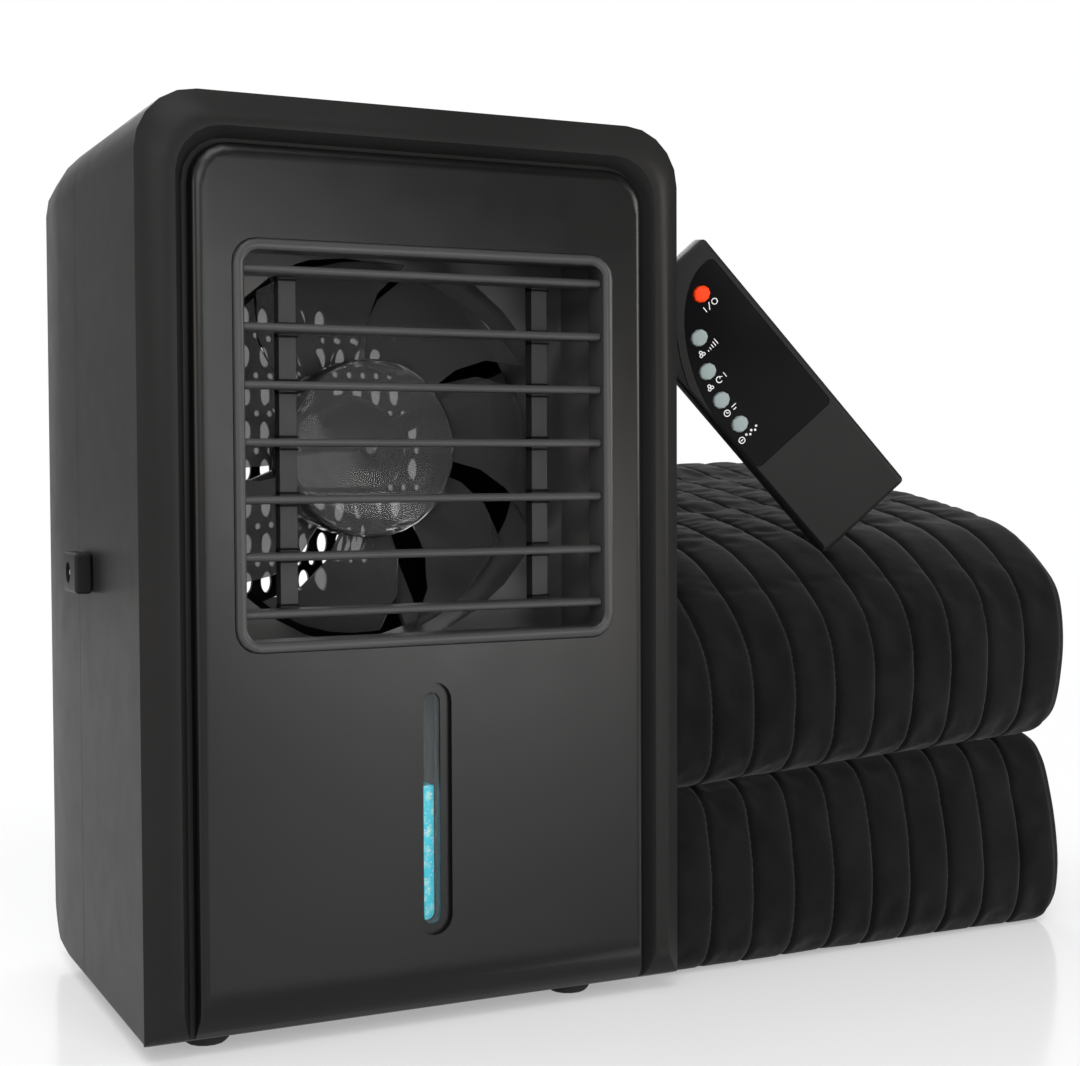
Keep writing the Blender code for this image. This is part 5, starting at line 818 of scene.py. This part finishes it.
# %% [markdown]
# The blown-up cloth has one point every 4 mm, which is too coarse for a sewn line. A finer skin
# is drawn through it, with its columns packed close beside each seam, and a narrow groove is
# pressed in where the thread pulls the two cloths together. Beside the groove the cloth puckers.
# The open ends of a roll show the layers of the fold, so the skin goes on inwards there in steps.

# %% The fine skin of a roll
SKIN_SHARES = (0.0, 0.022, 0.058, 0.115, 0.21, 0.345, 0.5, 0.655, 0.79, 0.885, 0.942, 0.978)
GROOVE_DEPTH = 0.0016
GROOVE_HALF_WIDTH = 0.0009
PUCKER_RISE = 0.00045
PUCKER_REACH = 0.0050
PUCKER_PITCH = 0.0075
CREASE_RISE = 0.0007
CREASE_SIZE = 0.040
END_ROUNDING = 5
END_INSET = 0.008
LAYER_SHARES = (
    0.03, 0.10, 0.19, 0.27, 0.315, 0.335, 0.36, 0.41,
    0.50, 0.59, 0.645, 0.665, 0.69, 0.75, 0.85, 1.0,
)
LAYER_GROOVES = (0.0, 0.335, 0.665, 1.0)
LAYER_BULGE = 0.0035
LAYER_SINK = 0.0045


def across_channel(cloth, share):
    """A finer column at a share of the way from one seam to the next."""
    before_first = [2 * a - b for a, b in zip(cloth[0], cloth[1])]
    after_last = [2 * a - b for a, b in zip(cloth[-1], cloth[-2])]
    wide = [before_first, *cloth, after_last]
    run = share * (len(cloth) - 1)
    i = min(int(run), len(cloth) - 2)
    return [curve_through(*points, run - i) for points in zip(*wide[i : i + 4])]


def doubled(ring):
    """The ring with a new point between each two."""
    count = len(ring)
    found = []
    for k in range(count):
        found.append(ring[k])
        found.append(curve_through(ring[k - 1], ring[k], ring[(k + 1) % count], ring[(k + 2) % count], 0.5))
    return found


def layer_height(share):
    """How far the end of the fold stands proud at a share of the way to its core."""
    for low, high in zip(LAYER_GROOVES, LAYER_GROOVES[1:]):
        if low <= share <= high:
            arch = math.sin(math.pi * (share - low) / (high - low))
            return LAYER_BULGE * math.sqrt(arch + SLIVER) - LAYER_SINK * share
    return 0


def end_rings(ring, cores, side, bulge):
    """Rings that round the edge of a roll's end and then step inwards over its layers."""
    inward = [Vector((0, core.y - point.y, core.z - point.z)) for point, core in zip(ring, cores)]
    rings = []
    for k in range(1, END_ROUNDING + 1):
        angle = math.pi / 2 * k / END_ROUNDING
        inset = END_INSET * (1 - math.cos(angle))
        proud = Vector((side * bulge * math.sin(angle), 0, 0))
        rings.append([point + way.normalized() * inset + proud for point, way in zip(ring, inward)])
    edge = rings[-1]
    depth = min(1, bulge / LAYER_BULGE)
    for share in LAYER_SHARES:
        proud = Vector((side * layer_height(share) * depth, 0, 0))
        centres = [Vector((point.x, core.y, core.z)) for point, core in zip(edge, cores)]
        rings.append([point.lerp(centre, share) + proud for point, centre in zip(edge, centres)])
    return rings


def pucker(point, from_seam):
    """How far the cloth stands out or in at a place, from the pull of the thread and from handling."""
    near = math.exp(-from_seam / PUCKER_REACH)
    fine = noise.noise(Vector((point.x / CHANNEL, point.y / PUCKER_PITCH, point.z / PUCKER_PITCH)))
    return PUCKER_RISE * near * fine + CREASE_RISE * noise.noise(point / CREASE_SIZE)


def lay_skin(columns, low, high, core):
    """The fine skin's columns, from end to end, and where the first seam is among them."""
    skin = []
    for channel in range(CHANNELS):
        cloth = columns[channel * CLOTH_COLUMNS : (channel + 1) * CLOTH_COLUMNS + 1]
        for share in SKIN_SHARES:
            from_seam = min(share, 1 - share) * CHANNEL
            press = GROOVE_DEPTH * math.exp(-((from_seam / GROOVE_HALF_WIDTH) ** 2))
            ring = doubled(across_channel(cloth, share))
            outs = ways_out(ring)
            pairs = zip(ring, outs)
            skin.append([point + out * (pucker(point, from_seam) - press) for point, out in pairs])
    ring = doubled(columns[-1])
    last = [point - out * GROOVE_DEPTH for point, out in zip(ring, ways_out(ring))]
    left = end_rings(skin[0], on_core(skin[0], low, high, core), -1, LEFT_BULGE)
    right = end_rings(last, on_core(last, low, high, core), 1, RIGHT_BULGE)
    return [*reversed(left), *skin, last, *right], len(left)


print(len(SKIN_SHARES), "columns of skin to each channel")

# %% [markdown]
# Each seam is stitched in black thread. A stitch is a short length of thread whose ends dive into
# the cloth, so a loose row of small pillows in the groove reads as sewing even from close by. A
# stitch that would lie on the floor or in the rolls' crease is left out.

# %% Stitches
STITCH_PITCH = 0.0038
STITCH_LENGTH = 0.0027
THREAD_RADIUS = 0.00032
STITCH_LIFT = 0.0003
STITCH_POINTS = 12


def stitch_row(ring, allowed):
    """Corner points of the stitches along one seam, three small diamonds to a stitch."""
    outs = ways_out(ring)
    runs = [0]
    for point, after in zip(ring, ring[1:] + ring[:1]):
        runs.append(runs[-1] + (after - point).length)
    points = []
    k = 0
    for number in range(int(runs[-1] / STITCH_PITCH)):
        for share, lift in ((0, -THREAD_RADIUS), (0.5, STITCH_LIFT), (1, -THREAD_RADIUS)):
            run = number * STITCH_PITCH + share * STITCH_LENGTH
            while runs[k + 1] < run:
                k += 1
            part = (run - runs[k]) / (runs[k + 1] - runs[k])
            on_seam = ring[k].lerp(ring[(k + 1) % len(ring)], part)
            if share == 0 and not allowed(on_seam):
                break
            middle = on_seam + outs[k] * lift
            aside, out = Vector((THREAD_RADIUS, 0, 0)), outs[k] * THREAD_RADIUS
            points.extend((middle + aside, middle + out, middle - aside, middle - out))
    return points


def stitch_faces(count):
    """Four faces from each of a stitch's three diamonds to the next, for all points of a row."""
    faces = []
    for start in range(0, count, STITCH_POINTS):
        for step in (start, start + 4):
            for side in range(4):
                beside = (side + 1) % 4
                faces.append((step + side, step + beside, step + 4 + beside, step + 4 + side))
    return faces


print("a stitch every", STITCH_PITCH * 1000, "mm")

# %% [markdown]
# The cloth is a brushed black microfibre: matt, with a soft light edge where it turns away, which
# is what sheen is for. Its pile lies in patches, so the colour varies a little over a few
# centimetres, and a fine grain breaks up the surface close by.

# %% Quilt cloth and thread
quilt_cloth = Finish("quilt_cloth", Roughness=0.95, Specular_IOR_Level=0.03)
quilt_cloth.shader.inputs["Sheen Weight"].default_value = 0.09
quilt_cloth.shader.inputs["Sheen Roughness"].default_value = 0.45
quilt_cloth.uneven_colour((0.0040, 0.0040, 0.0041), (0.0076, 0.0076, 0.0077), 38.0, 4.0, 0.6)
quilt_cloth.bump(quilt_cloth.noise(160.0, 3.0), 0.25, 0.0012)
quilt_cloth.bump(quilt_cloth.noise(2200.0), 0.35, 0.0003)
thread = Finish("black_thread", Roughness=0.6, Specular_IOR_Level=0.15)
thread.uneven_colour((0.007, 0.007, 0.007), (0.016, 0.016, 0.0155), 900.0)
thread.bump(thread.noise(3000.0, 1.0), 0.3, 0.0002)
print("soft finishes:", quilt_cloth.material.name, "and", thread.material.name)

# %% [markdown]
# The upper roll lies on the lower one, and the handset lies on the upper one, so each finished
# point is kept a hair's breadth off what it touches. The crease between the rolls rises from left to
# right. The handset's underside is found by looking up from each point until the handset is met.

# %% The two rolls
FLOOR_CLEARANCE = 0.0003
ROLL_CLEARANCE = 0.0003
HANDSET_CLEARANCE = 0.0004
upper_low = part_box("pad_upper_roll")[0].z
lower_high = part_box("pad_lower_roll")[1].z


def pinch_height(x):
    """The height of the crease between the rolls, which rises from left to right."""
    share = min(max((x - SEAM_START) / (CHANNELS * CHANNEL), 0), 1)
    return upper_low + (lower_high - upper_low) * share


def handset_over(point):
    """How high a point of the pad may lie below the handset."""
    below = Vector((point.x, point.y, pad_low.z))
    hits = [form.ray_cast(below, Vector((0, 0, 1)))[0] for form in handset_forms]
    return min([hit.z for hit in hits if hit], default=math.inf) - HANDSET_CLEARANCE


def settled(name, point):
    """A point of a roll, kept off the floor, the other roll and the handset."""
    crease = pinch_height(point.x)
    if name == "pad_lower_roll":
        point.z = min(max(point.z, FLOOR_CLEARANCE), crease - ROLL_CLEARANCE)
    else:
        point.z = min(max(point.z, crease + ROLL_CLEARANCE), handset_over(point))
    return point


def clear_of_rests(point):
    """Whether a point is well away from the floor and from the crease between the rolls."""
    return all(abs(point.z - edge) > REST_BAND for edge in (0, pinch_height(point.x)))


graph = bpy.context.evaluated_depsgraph_get()
handset_forms = [BVHTree.FromObject(nodes[name], graph) for name in ("handset_back", "handset_front")]
for name, core in ROLL_CORES.items():
    low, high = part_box(name)
    columns = lay_cloth(nodes[name])
    middle = columns[len(columns) // 2]
    crease = pinch_height(middle[0].x)
    edges = (0, crease) if name == "pad_lower_roll" else (crease,)
    resting = [any(abs(point.z - edge) < REST_BAND for edge in edges) for point in middle]
    blown = puffed(columns, resting)
    skin, first = lay_skin(blown, low, high, core)
    skin = [[settled(name, point) for point in ring] for ring in skin]
    points = [point for ring in skin for point in ring]
    short = name.replace("_roll", "")
    cover = mesh_piece(short + "_quilt", points, grid_faces(len(skin), len(skin[0])), quilt_cloth)
    turned_out(cover, weld=SLIVER)
    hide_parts(name)
    points = []
    for seam in range(1, CHANNELS + 1):
        points.extend(stitch_row(skin[first + seam * len(SKIN_SHARES)], clear_of_rests))
    stitches = mesh_piece(short + "_stitches", points, stitch_faces(len(points)), thread)
    for piece in (cover, stitches):
        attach(piece, "pad")
    print(cover.name, len(cover.data.vertices), "points,", len(points) // STITCH_POINTS, "stitches")

# %% [markdown]
# ## The floor
# The set stands on a pale, slightly glossy floor that runs into a white background. More light
# would do that too, but would wash out the black parts. So the floor keeps its shadow near the set,
# and further away it goes over into plain white for rays from the camera, gloss and glass.

# %% The floor
WHITE = 1.0
FLOOR_SIZE, FLOOR_DROP = 8, 0.0005
GLOW_BESIDE_SET = 0.34
GLOW_START, GLOW_END = 0.30, 1.30


def seen_directly(tree):
    """1 for a ray that comes from the camera, from gloss or through glass, and 0 for any other."""
    path = tree.nodes.new("ShaderNodeLightPath")
    seen = path.outputs["Is Camera Ray"]
    for kind in ("Is Glossy Ray", "Is Transmission Ray"):
        either = tree.nodes.new("ShaderNodeMath")
        either.operation = "MAXIMUM"
        tree.links.new(seen, either.inputs[0])
        tree.links.new(path.outputs[kind], either.inputs[1])
        seen = either.outputs[0]
    return seen


def floor_paint(name, colour):
    """Pale paint with the set's shadow on it, which goes over into plain white further away."""
    made = Finish(name, Base_Color=(*colour, 1), Roughness=0.14)
    away = made.node("ShaderNodeVectorMath", operation="LENGTH")
    made.link(made.node("ShaderNodeNewGeometry").outputs["Position"], away, 0)
    share = made.node("ShaderNodeMath", operation="MULTIPLY")
    made.link(made.ramp(away.outputs["Value"], GLOW_BESIDE_SET, 1.0, GLOW_START, GLOW_END), share, 0)
    made.link(seen_directly(made.tree), share, 1)
    mix = made.node("ShaderNodeMixShader")
    made.link(share.outputs[0], mix, 0)
    made.link(made.shader.outputs[0], mix, 1)
    made.link(made.node("ShaderNodeEmission", Strength=WHITE).outputs[0], mix, 2)
    made.link(mix.outputs[0], made.tree.nodes["Material Output"], "Surface")
    return made.material


bpy.ops.mesh.primitive_plane_add(size=1)
floor = bpy.context.object
floor.name = "floor"
floor.scale = (FLOOR_SIZE, FLOOR_SIZE, 1)
floor.location = (0, 0, -FLOOR_DROP)
floor.data.materials.append(floor_paint("floor_white", (0.86, 0.86, 0.87)))
print("floor of", FLOOR_SIZE, "m, white from", GLOW_END, "m outwards")

# %% [markdown]
# ## The cards
# Black plastic shows whatever stands round it, so a photographer puts cards where it would mirror
# the white room: black ones in front, behind the lamps, and on the right, a dark one above, for the
# bezel's top, and a grey one behind on the left, for the side wall.

# %% The cards
FRONT, RIGHT, REAR = -1.78, 2.2, 1.4
CARD_TOP, CEILING = 2.1, 2.3


def set_card(name, grey, corners):
    """A matt card with its four corners at the places given, which the camera itself doesn't see."""
    card = bpy.data.objects.new(name, bpy.data.meshes.new(name))
    card.data.from_pydata(corners, [], [(0, 1, 2, 3)])
    paint = Finish(name, Base_Color=(grey, grey, grey, 1), Roughness=0.9, Specular_IOR_Level=0.1)
    card.data.materials.append(paint.material)
    card.visible_camera = False
    scene.collection.objects.link(card)


def upright(start, end, top):
    """The corners of an upright card over the line from start to end on the floor."""
    return [(*start, 0), (*end, 0), (*end, top), (*start, top)]


set_card("front_card", 0.01, upright((-0.25, FRONT), (RIGHT, FRONT), CARD_TOP))
set_card("back_card", 0.50, upright((-2.0, 2.2), (-0.42, 2.6), 1.5))
overhead = [(0.25, FRONT), (RIGHT, FRONT), (RIGHT, 1.0), (0.25, 1.0)]
set_card("ceiling_card", 0.02, [(x, y, CEILING) for x, y in overhead])
set_card("right_card", 0.01, upright((RIGHT, FRONT), (RIGHT, REAR), CARD_TOP))
print("four cards stand round the set")

# %% [markdown]
# ## The world
# The world gives the set a weak, slightly blue light, as the white walls of a studio do, but the
# camera, gloss and glass see it as plain white, like the floor.

# %% The world
world = bpy.data.worlds.new("studio")
scene.world = world
world.use_nodes = True
tree = world.node_tree
background = tree.nodes["Background"]
background.inputs["Color"].default_value = (0.9, 0.94, 1.0, 1)
background.inputs["Strength"].default_value = 0.35
seen = tree.nodes.new("ShaderNodeBackground")
seen.inputs["Color"].default_value = (1, 1, 1, 1)
seen.inputs["Strength"].default_value = WHITE
mix = tree.nodes.new("ShaderNodeMixShader")
tree.links.new(seen_directly(tree), mix.inputs[0])
tree.links.new(background.outputs[0], mix.inputs[1])
tree.links.new(seen.outputs[0], mix.inputs[2])
tree.links.new(mix.outputs[0], tree.nodes["World Output"].inputs["Surface"])
print("world", world.name, "is set")

# %% [markdown]
# ## The light
# Product photographs are lit by large soft boxes. Here two broad ones high on the left give the
# long soft sheen, one low on each side draws the edges, small ones light the window, the panel and
# the unit's foot, and one behind the set lights its back.

# %% Soft boxes


def soft_box(name, place, target, size, watts, colour=(1, 1, 1)):
    """A rectangular lamp at a place, pointed at a target, with its size in metres."""
    light = bpy.data.lights.new(name, "AREA")
    light.shape = "RECTANGLE"
    light.size, light.size_y = size
    light.energy = watts
    light.color = colour
    made = bpy.data.objects.new(name, light)
    scene.collection.objects.link(made)
    place, target = Vector(place), Vector(target)
    turn = (target - place).to_track_quat("-Z", "Y").to_matrix().to_4x4()
    made.matrix_world = Matrix.Translation(place) @ turn
    return made


PANEL_LIGHT_TURN = math.radians(45)
centre = (cad_low + cad_high) / 2
soft_box("key_light", (-0.4, -1.4, 2.0), centre, (1.3, 1.0), 24)
soft_box("left_light", (-1.9, -0.50, 0.40), centre, (0.6, 0.9), 8, (1.0, 0.87, 0.79))
soft_box("top_light", (-0.6, 0.4, 1.9), centre, (1.5, 1.6), 18)
soft_box("window_light", (-0.9, -1.6, 0.8), centre, (0.7, 0.7), 9)
soft_box("low_light", (0.72, -1.5, 0.12), (-0.01, -0.15, 0.2), (0.6, 0.2), 1.6, (1.0, 0.93, 0.88))
soft_box("right_light", (1.5, -1.0, 0.5), (0.05, -0.1, 0.15), (0.5, 0.8), 16, (1.0, 0.96, 0.93))
panel_light = soft_box("panel_light", (0.24, -1.5, 0.26), (-0.113, -0.155, 0.20), (0.22, 0.9), 7)
panel_light.matrix_world = panel_light.matrix_world @ Matrix.Rotation(PANEL_LIGHT_TURN, 4, "Z")
soft_box("back_light", (0.7, 1.7, 1.0), centre, (1.2, 0.9), 16)
